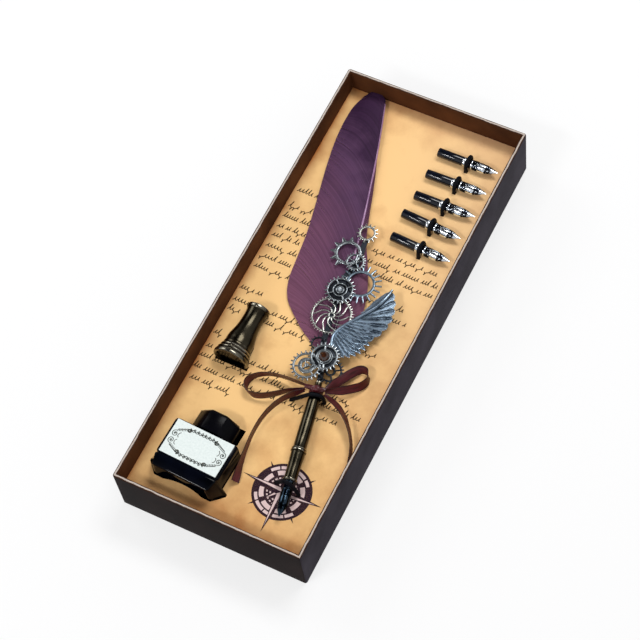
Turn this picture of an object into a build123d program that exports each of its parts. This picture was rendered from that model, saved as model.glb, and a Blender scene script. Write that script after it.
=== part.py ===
from build123d import *
import math
import os

# Quill pen gift box: a lidless paper covered tray with a printed card, a feather pen with a
# cast gear and wing ornament, five spare nibs, an ink bottle and a pen stand.
# Frame: X across the tray, Y along it towards the feather's tip, Z up, origin under the middle.

# Tray
tray_length = 310.0
tray_width = 123.5
tray_height = 39.0
tray_corner_radius = 1.5
board_thickness = 1.6
wrap_thickness = 0.4
rim_depth = 17.0

# Insert: foam block under a printed card
card_thickness = 0.6
foam_clearance = 0.2
card_clearance = 0.25
pocket_clearance = 0.6
cap_recess_clearance = 1.2

# Elastic ties
elastic_diameter = 2.4
elastic_sides = 6
elastic_clearance = 0.1
elastic_leg_depth = 5.0

# Pen placing, from the mouth of its grip, as shares of the tray's width and length
pen_mouth_x_share = 0.251
pen_mouth_y_share = -0.3581
pen_turn = 11.7
resting_clearance = 0.05

# Pen body of revolution, along its own axis from the mouth
mouth_ring_radius = 4.5
mouth_ring_length = 1.8
grip_radius_low = 4.05
grip_radius_high = 4.4
grip_length = 17.2
grip_end_wall = 0.6
grip_waist_depth = 0.15
collar_radius = 4.75
collar_length = 2.6
barrel_radius_low = 3.95
barrel_radius_high = 3.65
barrel_length = 41.4
barrel_straight_length = 9.5
turned_sides = 32
neck_radius = 2.15
neck_length = 2.9
nib_fit_clearance = 0.06

# Nib unit, along its own axis from the rear of its shank
shank_radius = 3.0
shank_length = 17.7
shank_ring_radius = 3.2
shank_ring_length = 1.3
feed_neck_radius = 2.6
nib_length = 40.5
nib_radius = 3.25
nib_sheet = 0.45
nib_tip_radius = 1.3
nib_taper_length = 7.5
nib_window_radius = 1.2
nib_slit_width = 0.3
nib_sides = 12

# Spare nibs: rear end as shares of the tray's width and length, and turn of each
spare_nibs = [
    (0.1077, 0.4145, 0.0),
    (0.1069, 0.3590, 1.0),
    (0.1077, 0.3045, 0.0),
    (0.0972, 0.2568, -4.0),
    (0.1045, 0.2003, -3.4),
]
spare_nib_tie_at = 20.6

# Feather
feather_end_gap = 40.0
shaft_end_gap = 4.0
shaft_start_radius = 1.3
shaft_end_radius = 0.35
shaft_sides = 10
shaft_bend_start = 60.0
shaft_bend_reach = 2.5
vane_start = 82.0
vane_thickness = 0.5

# Gear stack on its spine: radius of each casting over its teeth
crown_gear_radius = 6.6
crescent_gear_radius = 11.2
spoked_gear_radius = 6.6
long_tooth_gear_radius = 13.2
jewel_gear_radius = 9.6
swirl_wheel_radius = 13.4
small_ring_gear_radius = 5.75
amber_gear_radius = 9.6
left_gear_radius = 10.0
right_gear_radius = 8.2
clear_stone_radius = 1.7
amber_stone_radius = 3.7
spoke_width = 1.2
stone_girdle = 0.3
stone_fit = 0.02
bezel_height = 0.7
spine_width = 3.2
spine_thickness = 1.2
gear_thickness = 1.2
stone_height = 1.3

# Wing
wing_thickness = 0.8
wing_row_step = 0.45
long_plume_width = 6.4
wing_arm_width = 3.0
wing_gear_gap = 0.3

# Ribbon, standing on edge
ribbon_width = 5.5
ribbon_thickness = 0.5
ribbon_top = 33.0
ribbon_floor_gap = 0.3

# Ink bottle, lying on its back, along its own axis from the foot
bottle_x_share = -0.213
bottle_y_share = -0.4471
bottle_turn = -2.5
bottle_body_width = 42.5
bottle_foot_width = 51.0
bottle_depth = 30.0
bottle_shoulder_height = 33.0
bottle_foot_height = 7.6
bottle_bevel = 2.2
bottle_arch_height = 2.0
glass_wall = 3.2
neck_outer_radius = 9.0
neck_bore_radius = 6.2
cap_gap = 0.9
cap_length = 13.5
cap_across_flats = 27.4
cap_bevel = 1.6
cap_bore_depth = 11.0
cap_fit_clearance = 0.08
liner_thickness = 0.8
label_width = 38.6
label_height = 22.7
label_thickness = 0.25
label_middle = 20.6

# Pen stand, lying in its recess, from its foot
stand_x_share = -0.3077
stand_y_share = -0.1787
stand_axis_height = 27.0
stand_length = 38.4
stand_foot_radius = 11.5
stand_waist_radius = 6.4
stand_lip_radius = 7.4
stand_bore_radius = 5.1
stand_bore_depth = 30.0

# Heights worked out from the sizes above
card_top = tray_height - rim_depth
foam_top = card_top - card_thickness
floor_top = wrap_thickness + board_thickness
cavity_width = tray_width - 2 * (board_thickness + 2 * wrap_thickness)
cavity_length = tray_length - 2 * (board_thickness + 2 * wrap_thickness)
pen_axis_height = card_top + collar_radius + resting_clearance
nib_axis_height = card_top + nib_radius + resting_clearance
elastic_radius = elastic_diameter / 2
bottle_axis_height = card_top
pen_mouth_x = pen_mouth_x_share * tray_width
pen_mouth_y = pen_mouth_y_share * tray_length

# Stations along the pen
grip_start = mouth_ring_length
collar_start = grip_start + grip_length
barrel_start = collar_start + collar_length
neck_start = barrel_start + barrel_length
spine_start = neck_start + neck_length
spine_top = spine_thickness / 2
shaft_depth = spine_top + shaft_start_radius
layer_low = spine_top
layer_middle = layer_low + gear_thickness
layer_high = layer_middle + gear_thickness
stack_top = layer_high + gear_thickness
feather_end = tray_length - feather_end_gap
shaft_end = feather_end - shaft_end_gap

pen_place = Location((pen_mouth_x, pen_mouth_y, pen_axis_height), (0, 0, pen_turn))
bottle_place = Location(
    (bottle_x_share * tray_width, bottle_y_share * tray_length, bottle_axis_height),
    (0, 0, bottle_turn),
)
stand_place = Location((stand_x_share * tray_width, stand_y_share * tray_length, stand_axis_height))


def pen_point(across, along):
    """Plan position of a point given across and along the pen."""
    turn = math.radians(pen_turn)
    x = pen_mouth_x + across * math.cos(turn) - along * math.sin(turn)
    y = pen_mouth_y + across * math.sin(turn) + along * math.cos(turn)
    return (x, y)


def beside_mouth(x, y):
    """Plan position of a point given square to the tray from the pen's mouth."""
    return (pen_mouth_x + x, pen_mouth_y + y)


def turned(profile):
    """A body of revolution about Y from (radius, station) points."""
    return revolve(make_face(Polyline(*profile, close=True)), Axis.Y)


def sided_bar(sections, sides):
    """A bar about Y with flat sides between (radius, station) sections, closed at both ends."""
    angles = [2 * math.pi * number / sides for number in range(sides)]
    rings = [
        [Vector(radius * math.cos(angle), station, radius * math.sin(angle)) for angle in angles]
        for radius, station in sections
    ]
    flats = [Face(Wire.make_polygon(rings[0])), Face(Wire.make_polygon(rings[-1]))]
    for ring_a, ring_b in zip(rings, rings[1:]):
        for number in range(sides):
            after = (number + 1) % sides
            corners = [ring_a[number], ring_a[after], ring_b[after], ring_b[number]]
            flats.append(Face(Wire.make_polygon(corners)))
    return Solid(Shell(flats))


def slab(width, length, low, high, radius=0.0):
    """A plate centred on the tray's middle, between two heights."""
    outline = RectangleRounded(width, length, radius) if radius else Rectangle(width, length)
    return Pos(0, 0, low) * extrude(outline, high - low)


def route_radii(points):
    """Arc radius at each corner: 0.45 of the shorter run over the tangent of half the turn."""
    radii = []
    for before, corner, after in zip(points, points[1:], points[2:]):
        run_in = Vector(*corner) - Vector(*before)
        run_out = Vector(*after) - Vector(*corner)
        half_turn = math.radians(run_in.get_angle(run_out)) / 2
        radii.append(0.45 * min(run_in.length, run_out.length) / math.tan(half_turn))
    return radii


def smooth_route(points):
    return FilletPolyline(*points, radius=route_radii(points))


# Tray

def outer_block(inset, low, high):
    return slab(
        tray_width - 2 * inset,
        tray_length - 2 * inset,
        low,
        high,
        tray_corner_radius - inset,
    )


def tray_cavity(extra):
    """The hollow above the floor, widened by what lines its walls."""
    return slab(cavity_width + 2 * extra, cavity_length + 2 * extra, floor_top, tray_height + 1)


def make_tray_board():
    block = outer_block(wrap_thickness, wrap_thickness, tray_height - wrap_thickness)
    return block - tray_cavity(wrap_thickness)


def make_tray_wrap():
    """The covering paper: up the outside, over the rim and down the inside."""
    block = outer_block(0, wrap_thickness, tray_height) - tray_cavity(0)
    return block - make_tray_board()


def make_base_paper():
    return outer_block(0, 0, wrap_thickness)


# Pen stand

foot = stand_foot_radius
waist = stand_waist_radius
lip = stand_lip_radius
stand_steps = [
    (foot, 0),
    (foot, 2.6),
    (foot - 0.9, 2.9),
    (foot - 0.9, 5.0),
    (foot - 1.7, 5.3),
    (foot - 1.7, 7.4),
    (foot - 2.4, 7.7),
    (foot - 2.4, 10.3),
]
stand_curve = [
    (waist + 2.6, 10.3),
    (waist + 2.4, 14.4),
    (waist + 1.3, 18.2),
    (waist + 0.4, 23.0),
    (waist, 28.0),
    (waist + 0.5, stand_length - 2.6),
]
stand_lip = [(lip, stand_length - 2.6), (lip, stand_length - 0.5), (lip - 0.5, stand_length)]
stand_outline = stand_steps + stand_curve + stand_lip


def make_pen_stand():
    bore = Pos(0, stand_length, 0) * Rot(90, 0, 0) * Cylinder(
        stand_bore_radius,
        stand_bore_depth,
        align=(Align.CENTER, Align.CENTER, Align.MIN),
    )
    return stand_place * (sided_bar(stand_outline, turned_sides) - bore)


# Ink bottle

def bottle_outline(spare=0.0):
    """Plan outline of the glass: square shoulders, a flared foot and an arch between its feet."""
    half = bottle_body_width / 2 + spare
    flare = bottle_foot_width / 2 + spare
    toe = bottle_body_width / 2 - 2.5 + spare
    top = bottle_shoulder_height + spare
    shoulder = 1.6
    foot_top = bottle_foot_height + 2.2
    arch_start = toe - 6.0
    right = [
        (arch_start, -spare),
        (toe, -spare),
        (flare, bottle_foot_height - 1.6),
        (flare, bottle_foot_height),
        (half, foot_top),
        (half, top - shoulder),
        (half - shoulder, top),
    ]
    left = [(-x, y) for x, y in reversed(right)]
    sides = Polyline(*right, *left)
    arch = ThreePointArc(left[-1], (0, bottle_arch_height - spare), right[0])
    return make_face([sides.edges(), arch.edge()])


def bevelled_prism(width, start, end):
    """An upright block of the bottle's depth with its four long edges bevelled."""
    section = chamfer(Rectangle(width, bottle_depth).vertices(), bottle_bevel)
    return Pos(0, end, 0) * Rot(90, 0, 0) * extrude(section, end - start)


def bottle_side_prism():
    """Side view of the glass: bevelled shoulder and foot edges, a groove above the foot."""
    half = bottle_depth / 2
    top, foot = bottle_shoulder_height, bottle_foot_height
    front = [
        (0, half - bottle_bevel),
        (bottle_bevel, half),
        (foot, half),
        (foot + 0.9, half - 0.9),
        (foot + 1.8, half),
        (top - bottle_bevel, half),
        (top, half - bottle_bevel),
    ]
    back = [(y, -z) for y, z in reversed(front)]
    face = Plane.YZ * make_face(Polyline(*front, *back, close=True))
    return Pos(-bottle_foot_width, 0, 0) * extrude(face, 2 * bottle_foot_width)


def make_ink_bottle():
    body = Pos(0, 0, -bottle_depth / 2) * extrude(bottle_outline(), bottle_depth)
    foot_top = bottle_foot_height + 2.2
    panel = bevelled_prism(bottle_body_width, foot_top, bottle_shoulder_height)
    foot = bevelled_prism(bottle_foot_width, -1, foot_top)
    body = body & (panel + foot) & bottle_side_prism()
    neck = turned(neck_profile(neck_outer_radius))
    cavity_base = bottle_arch_height + glass_wall
    cavity_length_y = bottle_shoulder_height - glass_wall - cavity_base
    cavity = Pos(0, cavity_base + cavity_length_y / 2, 0) * Box(
        bottle_body_width - 2 * glass_wall,
        cavity_length_y,
        bottle_depth - 2 * glass_wall,
    )
    bore = turned([
        (0, bottle_shoulder_height - glass_wall - 1),
        (neck_bore_radius, bottle_shoulder_height - glass_wall - 1),
        (neck_bore_radius, neck_end + 1),
        (0, neck_end + 1),
    ])
    return bottle_place * (body + neck - cavity - bore)


cap_start = bottle_shoulder_height + cap_gap
cap_end = cap_start + cap_length
neck_end = cap_start + cap_bore_depth - liner_thickness
cap_corner_radius = cap_across_flats / 2 / math.cos(math.pi / 8)


def neck_profile(radius):
    return [
        (0, bottle_shoulder_height - 1),
        (radius, bottle_shoulder_height - 1),
        (radius, neck_end),
        (0, neck_end),
    ]


def make_bottle_label():
    """Paper label on the upper face of the glass."""
    paper = Pos(0, label_middle, bottle_depth / 2) * Box(
        label_width,
        label_height,
        label_thickness,
        align=(Align.CENTER, Align.CENTER, Align.MIN),
    )
    return bottle_place * paper


def make_ink_cap():
    """Eight sided screw cap with a bevelled end."""
    octagon = RegularPolygon(cap_corner_radius, 8, rotation=22.5)
    along = Pos(0, cap_start, 0) * Rot(-90, 0, 0)
    block = along * extrude(octagon, cap_length)
    end_face = block.faces().sort_by(Axis.Y)[-1]
    block = chamfer(end_face.edges(), cap_bevel)
    bore = turned([
        (0, cap_start - 1),
        (neck_outer_radius + cap_fit_clearance, cap_start - 1),
        (neck_outer_radius + cap_fit_clearance, cap_start + cap_bore_depth),
        (0, cap_start + cap_bore_depth),
    ])
    return bottle_place * (block - bore)


def make_cap_liner():
    radius = neck_outer_radius - cap_fit_clearance
    disc = sided_bar([(radius, neck_end), (radius, neck_end + liner_thickness)], turned_sides)
    return bottle_place * disc


# Insert

def bottle_opening():
    """Cut-out of the card round the lying bottle and its turning cap."""
    body = extrude(bottle_outline(pocket_clearance), rim_depth, both=True)
    cap_zone_end = cap_end + pocket_clearance
    cap_zone = Pos(0, (bottle_shoulder_height + cap_zone_end) / 2, 0) * Box(
        2 * (cap_corner_radius + pocket_clearance),
        cap_zone_end - bottle_shoulder_height,
        2 * rim_depth,
    )
    return bottle_place * (body + cap_zone)


def stand_opening():
    """Cut-out of the card that follows the lying stand's half outline at the card's height."""
    below = stand_axis_height - card_top
    right = []
    for radius, station in stand_outline:
        grown = radius + pocket_clearance
        right.append((math.sqrt(grown**2 - below**2), station))
    right[0] = (right[0][0], -pocket_clearance)
    right[-1] = (right[-1][0], stand_length + pocket_clearance)
    left = [(-x, y) for x, y in reversed(right)]
    outline = make_face(Polyline(*right, *left, close=True))
    return stand_place * Pos(0, 0, -stand_axis_height) * extrude(outline, tray_height)


def stand_recess():
    """Two level recess in the foam: deep for the foot, shallow for the waist and lip."""
    foot_zone = 19.9
    recess = []
    for radius, start, end in (
        (stand_foot_radius, -pocket_clearance, foot_zone),
        (stand_lip_radius, foot_zone, stand_length + pocket_clearance),
    ):
        box = Box(
            2 * (radius + pocket_clearance),
            end - start,
            2 * radius,
            align=(Align.CENTER, Align.MIN, Align.MIN),
        )
        recess.append(stand_place * Pos(0, start, -radius - resting_clearance) * box)
    return recess


def nib_place(nib):
    x, y, turn = nib
    return Location((x * tray_width, y * tray_length, nib_axis_height), (0, 0, turn))


def tie_location(nib):
    """Where the elastic crosses a spare nib, square to the tray's sides."""
    crossing = (nib_place(nib) * Pos(spare_nib_tie_at, 0, 0)).position
    return Pos(crossing.X, crossing.Y, 0)


tie_arch_radius = shank_radius + elastic_clearance + elastic_radius
tie_arch_runs = 6
tie_foot = card_top - elastic_leg_depth
front_tie_turn = -6.4
front_tie_station = -3.0
front_tie_reach_left = 9.4
front_tie_reach_right = 6.8
rear_tie_turn = 18.0
rear_tie_station = 55.0
rear_tie_reach_left = 14.3
rear_tie_reach_right = 5.5


def pen_tie_place(station, turn):
    """Where an elastic crosses the pen's axis, turned to run between its two holes."""
    x, y = pen_point(0, station)
    return Location((x, y, 0), (0, 0, turn))


def rod_along(points):
    """A six sided rod along straight runs, mitred at its corners."""
    path = Polyline(*points)
    start = Plane(origin=path @ 0, x_dir=(1, 0, 0), z_dir=path % 0)
    section = start * RegularPolygon(elastic_radius, elastic_sides)
    return sweep(section, path, transition=Transition.RIGHT)


def make_nib_tie(nib):
    """Elastic over one spare nib, its legs pushed through the card."""
    half_step = math.pi / 2 / tie_arch_runs
    corner_radius = tie_arch_radius / math.cos(half_step)
    arch = []
    for number in range(tie_arch_runs):
        angle = math.pi - (2 * number + 1) * half_step
        across = corner_radius * math.cos(angle)
        arch.append((0, across, nib_axis_height + corner_radius * math.sin(angle)))
    points = [(0, -tie_arch_radius, tie_foot), *arch, (0, tie_arch_radius, tie_foot)]
    return tie_location(nib) * rod_along(points)


def make_pen_tie_front():
    """Elastic over the neck of the pen's nib, just outside the mouth ring."""
    crown = pen_axis_height + nib_radius + elastic_radius + 0.4
    left, right = front_tie_reach_left, front_tie_reach_right
    points = [
        (-left, 0, tie_foot),
        (-left, 0, card_top + 0.4),
        (-2.6, 0, crown),
        (2.4, 0, crown),
        (right, 0, card_top + 2.0),
        (right, 0, tie_foot),
    ]
    return pen_tie_place(front_tie_station, front_tie_turn) * rod_along(points)


def make_pen_tie_rear():
    """Elastic over the barrel, just outside the ribbon."""
    crown = pen_axis_height + barrel_radius_high + elastic_radius + 0.4
    left, right = rear_tie_reach_left, rear_tie_reach_right
    points = [
        (-left, 0, tie_foot),
        (-left, 0, card_top + 0.6),
        (-2.6, 0, crown),
        (3.0, 0, crown),
        (right, 0, crown - 3.8),
        (right, 0, tie_foot),
    ]
    return pen_tie_place(rear_tie_station, rear_tie_turn) * rod_along(points)


def tie_holes():
    """Slits in card and foam for every elastic leg."""
    feet = []
    for nib in spare_nibs:
        feet += [tie_location(nib) * Pos(0, side * tie_arch_radius, 0) for side in (-1, 1)]
    front = pen_tie_place(front_tie_station, front_tie_turn)
    rear = pen_tie_place(rear_tie_station, rear_tie_turn)
    feet += [front * Pos(reach, 0, 0) for reach in (-front_tie_reach_left, front_tie_reach_right)]
    feet += [rear * Pos(reach, 0, 0) for reach in (-rear_tie_reach_left, rear_tie_reach_right)]
    hole = Pos(0, 0, tie_foot) * Box(
        2 * (elastic_radius + elastic_clearance),
        2 * (elastic_radius + elastic_clearance),
        elastic_leg_depth + 1,
        align=(Align.CENTER, Align.CENTER, Align.MIN),
    )
    return [foot * hole for foot in feet]


def foam_block(left, right, front, back, low, high):
    return Pos((left + right) / 2, (front + back) / 2, low) * Box(
        right - left,
        back - front,
        high - low,
        align=(Align.CENTER, Align.CENTER, Align.MIN),
    )


def make_foam():
    """A bed under the bottle and four blocks on it, round a recess square to the tray."""
    lean = math.radians(abs(bottle_turn))
    half = bottle_foot_width / 2 * math.cos(lean) + cap_end * math.sin(lean) + pocket_clearance
    foot_swing = bottle_foot_width / 2 * math.sin(lean)
    middle = bottle_place.position
    recess_left, recess_right = middle.X - half, middle.X + half
    recess_front = middle.Y - foot_swing - pocket_clearance
    recess_back = middle.Y + cap_end + pocket_clearance + cap_recess_clearance
    side = cavity_width / 2 - foam_clearance
    far = cavity_length / 2 - foam_clearance
    bed_top = bottle_axis_height - bottle_depth / 2
    blocks = {
        "foam_bed": foam_block(-side, side, -far, far, floor_top, bed_top),
        "foam_front": foam_block(-side, side, -far, recess_front, bed_top, foam_top),
        "foam_left": foam_block(-side, recess_left, recess_front, recess_back, bed_top, foam_top),
        "foam_right": foam_block(recess_right, side, recess_front, recess_back, bed_top, foam_top),
        "foam_rear": foam_block(-side, side, recess_back, far, bed_top, foam_top) - stand_recess(),
    }
    for name in ("foam_right", "foam_rear"):
        blocks[name] = blocks[name] - tie_holes()
    return blocks


def make_printed_card():
    sheet = slab(
        cavity_width - 2 * card_clearance,
        cavity_length - 2 * card_clearance,
        foam_top,
        card_top,
    )
    return sheet - bottle_opening() - stand_opening() - tie_holes()


# Nib unit

nib_start = shank_length + shank_ring_length + 4.6
nib_waist = nib_length - nib_taper_length
nib_wrap_below = 0.5
feed_end_radius = 0.8
feed_taper_length = 4.4
feed_clearance = 0.02


def make_nib_shank():
    """Shank, its ring and the tapering feed under the nib."""
    ring_end = shank_length + shank_ring_length
    feed_radius = nib_radius - nib_sheet - feed_clearance
    return sided_bar([
        (shank_radius, 0),
        (shank_radius, shank_length),
        (shank_ring_radius, shank_length),
        (shank_ring_radius, ring_end),
        (feed_neck_radius, ring_end),
        (feed_neck_radius, nib_start - 1.2),
        (feed_radius, nib_start),
        (feed_radius, nib_waist),
        (feed_end_radius, nib_waist + feed_taper_length),
    ], nib_sides)


def make_nib_point():
    """Rolled sheet nib over the feed, cut to a point, with a window and a slit."""
    outer = sided_bar([
        (nib_radius, nib_start),
        (nib_radius, nib_waist),
        (nib_tip_radius, nib_length),
    ], nib_sides)
    inner = sided_bar([
        (nib_radius - nib_sheet, nib_start),
        (nib_radius - nib_sheet, nib_waist),
        (nib_tip_radius - nib_sheet, nib_length),
    ], nib_sides)
    half = nib_radius + 1
    plan = make_face(Polyline(
        (-half, nib_start),
        (half, nib_start),
        (half, nib_waist - 1.5),
        (nib_slit_width, nib_length),
        (-nib_slit_width, nib_length),
        (-half, nib_waist - 1.5),
        close=True,
    ))
    upper = Pos(0, 0, -nib_wrap_below) * extrude(plan, nib_radius + 2)
    window_outline = Pos(0, nib_start + 5.4) * scale(
        RegularPolygon(nib_window_radius, 8, rotation=22.5),
        (1, 1.7, 1),
    )
    window = extrude(window_outline, nib_radius + 1)
    slit_start = nib_start + 7.0
    slit = Pos(0, (slit_start + nib_length) / 2 + 1, 0) * Box(
        nib_slit_width,
        nib_length - slit_start + 2,
        nib_radius + 2,
        align=(Align.CENTER, Align.CENTER, Align.MIN),
    )
    return (outer - inner) & upper - window - slit


def along_x(shape):
    """Turns a shape built along Y to lie along X."""
    return Rot(0, 0, -90) * shape


# Pen body of revolution

def shank_bore(start, length):
    """The hollow that the nib's shank slides in."""
    return Pos(0, start, 0) * Rot(-90, 0, 0) * Cylinder(
        shank_radius + nib_fit_clearance,
        length,
        align=(Align.CENTER, Align.CENTER, Align.MIN),
    )


def make_mouth_ring():
    r, end = mouth_ring_radius, mouth_ring_length
    edge = 0.4
    ring_body = sided_bar([(r - edge, 0), (r, edge), (r, end - edge), (r - edge, end)], turned_sides)
    return ring_body - shank_bore(-1, end + 2)


def make_pen_grip():
    """Slightly waisted grip, bored for the nib's shank."""
    start, end = grip_start, grip_start + grip_length
    body = sided_bar([
        (grip_radius_low, start),
        (grip_radius_low - grip_waist_depth, start + 0.3 * grip_length),
        (grip_radius_low, start + 0.6 * grip_length),
        (grip_radius_high, end),
    ], turned_sides)
    return body - shank_bore(start - 1, grip_length - grip_end_wall + 1)


def make_barrel_collar():
    """Two beads between grip and barrel, the first one larger."""
    s, r, end = collar_start, collar_radius, collar_start + collar_length
    groove_start = s + 0.45 * collar_length
    groove_end = groove_start + 0.4
    return sided_bar([
        (r - 0.3, s),
        (r, s + 0.3),
        (r, groove_start),
        (r - 0.6, groove_start),
        (r - 0.6, groove_end),
        (r - 0.2, groove_end),
        (r - 0.2, end),
    ], turned_sides)


def make_pen_barrel():
    """Barrel with a slight taper, a straight rear and a rounded end."""
    straight = neck_start - barrel_straight_length
    low, high = barrel_radius_low, barrel_radius_high
    return sided_bar([
        (low, barrel_start),
        ((low + high) / 2 + 0.04, (barrel_start + straight) / 2),
        (high, straight),
        (high, neck_start - 1.4),
        (high - 0.8, neck_start - 0.4),
        (neck_radius + 0.2, neck_start),
    ], turned_sides)


def make_pen_neck():
    return sided_bar([(neck_radius, neck_start), (neck_radius, spine_start)], turned_sides)


# Feather

def shaft_bend(station):
    """Sideways bend of the feather's shaft at a station along the pen."""
    share = max(station - shaft_bend_start, 0.0) / (shaft_end - shaft_bend_start)
    return -shaft_bend_reach * (share * shaft_bend_growth) ** shaft_bend_power


shaft_bend_growth = 1.746
shaft_bend_power = 2.6
shaft_stations = [0.0, 0.21, 0.42, 0.61, 0.765, 0.9, 1.0]


def make_feather_shaft():
    rings = []
    for share in shaft_stations:
        station = spine_start + (shaft_end - spine_start) * share
        radius = shaft_start_radius + (shaft_end_radius - shaft_start_radius) * share
        slope = (shaft_bend(station + 1) - shaft_bend(station - 1)) / 2
        if station == spine_start:
            slope = 0.0
        centre = (shaft_bend(station), station, -shaft_depth)
        plane = Plane(origin=centre, x_dir=(0, 0, 1), z_dir=(slope, 1, 0))
        rings.append(plane * RegularPolygon(radius, shaft_sides))
    return loft(rings, ruled=True)


# Edges of the two sides: reach across, and share of the way from the vane's start to its end
vane_left_edge = [
    (-3.0, 0.000),
    (-11.3, 0.049),
    (-19.9, 0.091),
    (-28.1, 0.143),
    (-34.3, 0.194),
    (-36.7, 0.262),
    (-35.2, 0.351),
    (-33.2, 0.447),
    (-32.0, 0.585),
    (-30.4, 0.723),
    (-27.2, 0.840),
    (-21.5, 0.940),
    (-14.6, 1.000),
]
vane_right_edge = [
    (2.0, 0.011),
    (9.0, 0.096),
    (13.2, 0.181),
    (12.8, 0.271),
    (9.2, 0.362),
    (4.6, 0.452),
    (2.8, 0.548),
    (1.8, 0.654),
    (0.4, 0.755),
    (-2.6, 0.854),
    (-7.2, 0.947),
    (-11.6, 0.997),
]
vane_root_run = 4.0


def make_vane(edge_shares):
    """One side of the feather, from the shaft's middle to its own edge."""
    length = feather_end - vane_start
    edge = [(across, vane_start + length * share) for across, share in edge_shares]
    low, high = edge[0], edge[-1]
    root_station = low[1] - vane_root_run
    run = shaft_end - root_station
    shaft_line = [root_station + run * share for share in shaft_stations]
    middle = [(shaft_bend(station), station) for station in shaft_line]
    lines = [
        Polyline(*middle),
        Line(middle[0], low),
        Spline(*edge),
        Line(high, middle[-1]),
    ]
    face = make_face([e for line in lines for e in line.edges()])
    return Pos(0, 0, -shaft_depth - vane_thickness / 2) * extrude(face, vane_thickness)


# Gears

def toothed_outline(teeth, tip, root, turn=0.0, share=0.5, taper=0.6, kept=None):
    """A toothed outline: straight sided teeth of a share of the pitch, tapering to their tips."""
    pitch = 2 * math.pi / teeth
    points = []
    for number in range(teeth):
        middle = number * pitch + math.radians(turn)
        reach = tip if kept is None or number in kept else root
        half_root = pitch * share / 2
        half_tip = half_root * taper
        for radius, angle in (
            (root, middle - half_root),
            (reach, middle - half_tip),
            (reach, middle + half_tip),
            (root, middle + half_root),
        ):
            points.append((radius * math.cos(angle), radius * math.sin(angle)))
    return make_face(Polyline(*points, close=True))


def spokes(count, inner, outer, width, turn=0.0):
    bar = Pos((inner + outer) / 2, 0) * Rectangle(outer - inner, width)
    return [Rot(0, 0, turn + 360.0 / count * number) * bar for number in range(count)]


def disc(radius):
    return RegularPolygon(radius, casting_sides)


def ring(outer, inner):
    return disc(outer) - disc(inner)


def gear_at(place, face, low):
    """Casts a face to one gear layer at (across, along) on the pen."""
    across, along = place
    return pen_place * Pos(across, along, low) * extrude(face, gear_thickness)


swirl_spokes = 10
stone_sides = 12
casting_sides = 24
crown_gear_place = (3.1, 169.8)
crescent_gear_place = (-5.3, 154.4)
spoked_gear_place = (1.1, 147.7)
long_tooth_gear_place = (7.5, 135.0)
jewel_gear_place = (-3.3, 127.9)
swirl_wheel_place = (-4.1, 110.5)
small_ring_gear_place = (-6.9, 90.2)
amber_gear_place = (-0.5, 81.0)
left_gear_place = (-9.8, 74.0)
right_gear_place = (5.0, 73.8)


def make_crown_gear():
    r = crown_gear_radius
    face = toothed_outline(13, r, 0.79 * r, turn=8, share=0.52, taper=0.85) - disc(0.545 * r)
    return gear_at(crown_gear_place, face, layer_low)


def make_crescent_gear():
    """Ring with tapered teeth only round its free side."""
    r = crescent_gear_radius
    teeth = toothed_outline(12, r, 0.73 * r, share=0.42, kept=range(3, 9))
    return gear_at(crescent_gear_place, teeth - disc(0.57 * r), layer_low)


def make_spoked_gear():
    r = spoked_gear_radius
    hub = 0.21 * r
    face = toothed_outline(20, r, 0.89 * r) - disc(0.65 * r)
    face = face + disc(hub) + spokes(5, 0.7 * hub, 0.7 * r, 0.75 * spoke_width, turn=18)
    return gear_at(spoked_gear_place, face, layer_middle)


def make_long_tooth_gear():
    r = long_tooth_gear_radius
    face = toothed_outline(20, r, 0.705 * r, turn=4, share=0.44, taper=0.75) - disc(0.5 * r)
    return gear_at(long_tooth_gear_place, face, layer_low)


def make_jewel_gear():
    r = jewel_gear_radius
    seat_radius = 2.1 * clear_stone_radius
    face = toothed_outline(20, r, 0.855 * r) - ring(0.69 * r, 0.49 * r)
    face = face + spokes(4, 0.46 * r, 0.72 * r, spoke_width, turn=30)
    seat = pen_place * Pos(*jewel_gear_place, layer_high) * extrude(
        ring(seat_radius, 1.6 * clear_stone_radius),
        gear_thickness / 3,
    )
    return gear_at(jewel_gear_place, face, layer_middle) + seat


def swirl_spoke(inner, outer, sweep_angle, width):
    """One bent spoke from the hub that leans over to the rim."""
    corners = []
    for share in (0.0, 0.35, 0.7, 1.0):
        reach = inner + (outer - inner) * share
        angle = math.radians(sweep_angle) * share**1.6
        corners.append((reach * math.cos(angle), reach * math.sin(angle)))
    return trace(Polyline(*corners), width)


def make_swirl_wheel():
    """Fine toothed rim carried by leaning curved spokes."""
    r = swirl_wheel_radius
    hub, bore = 0.18 * r, 0.075 * r
    face = toothed_outline(36, r, 0.925 * r, taper=0.7) - disc(0.81 * r)
    face = face + ring(hub, bore)
    spoke = swirl_spoke(0.85 * hub, 0.85 * r, 62, 0.75 * spoke_width)
    for number in range(swirl_spokes):
        face = face + Rot(0, 0, 360 / swirl_spokes * number) * spoke
    return gear_at(swirl_wheel_place, face, layer_low)


def make_small_ring_gear():
    r = small_ring_gear_radius
    face = toothed_outline(14, r, 0.82 * r) - disc(0.52 * r)
    return gear_at(small_ring_gear_place, face, layer_low)


def make_amber_gear():
    r = amber_gear_radius
    bezel_radius = 1.25 * amber_stone_radius
    face = toothed_outline(24, r, 0.865 * r) - ring(0.69 * r, 0.53 * r)
    face = face + spokes(4, 0.5 * r, 0.72 * r, spoke_width, turn=10)
    bezel = pen_place * Pos(*amber_gear_place, stack_top) * extrude(
        ring(bezel_radius, amber_stone_radius),
        bezel_height,
    )
    return gear_at(amber_gear_place, face, layer_high) + bezel


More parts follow.
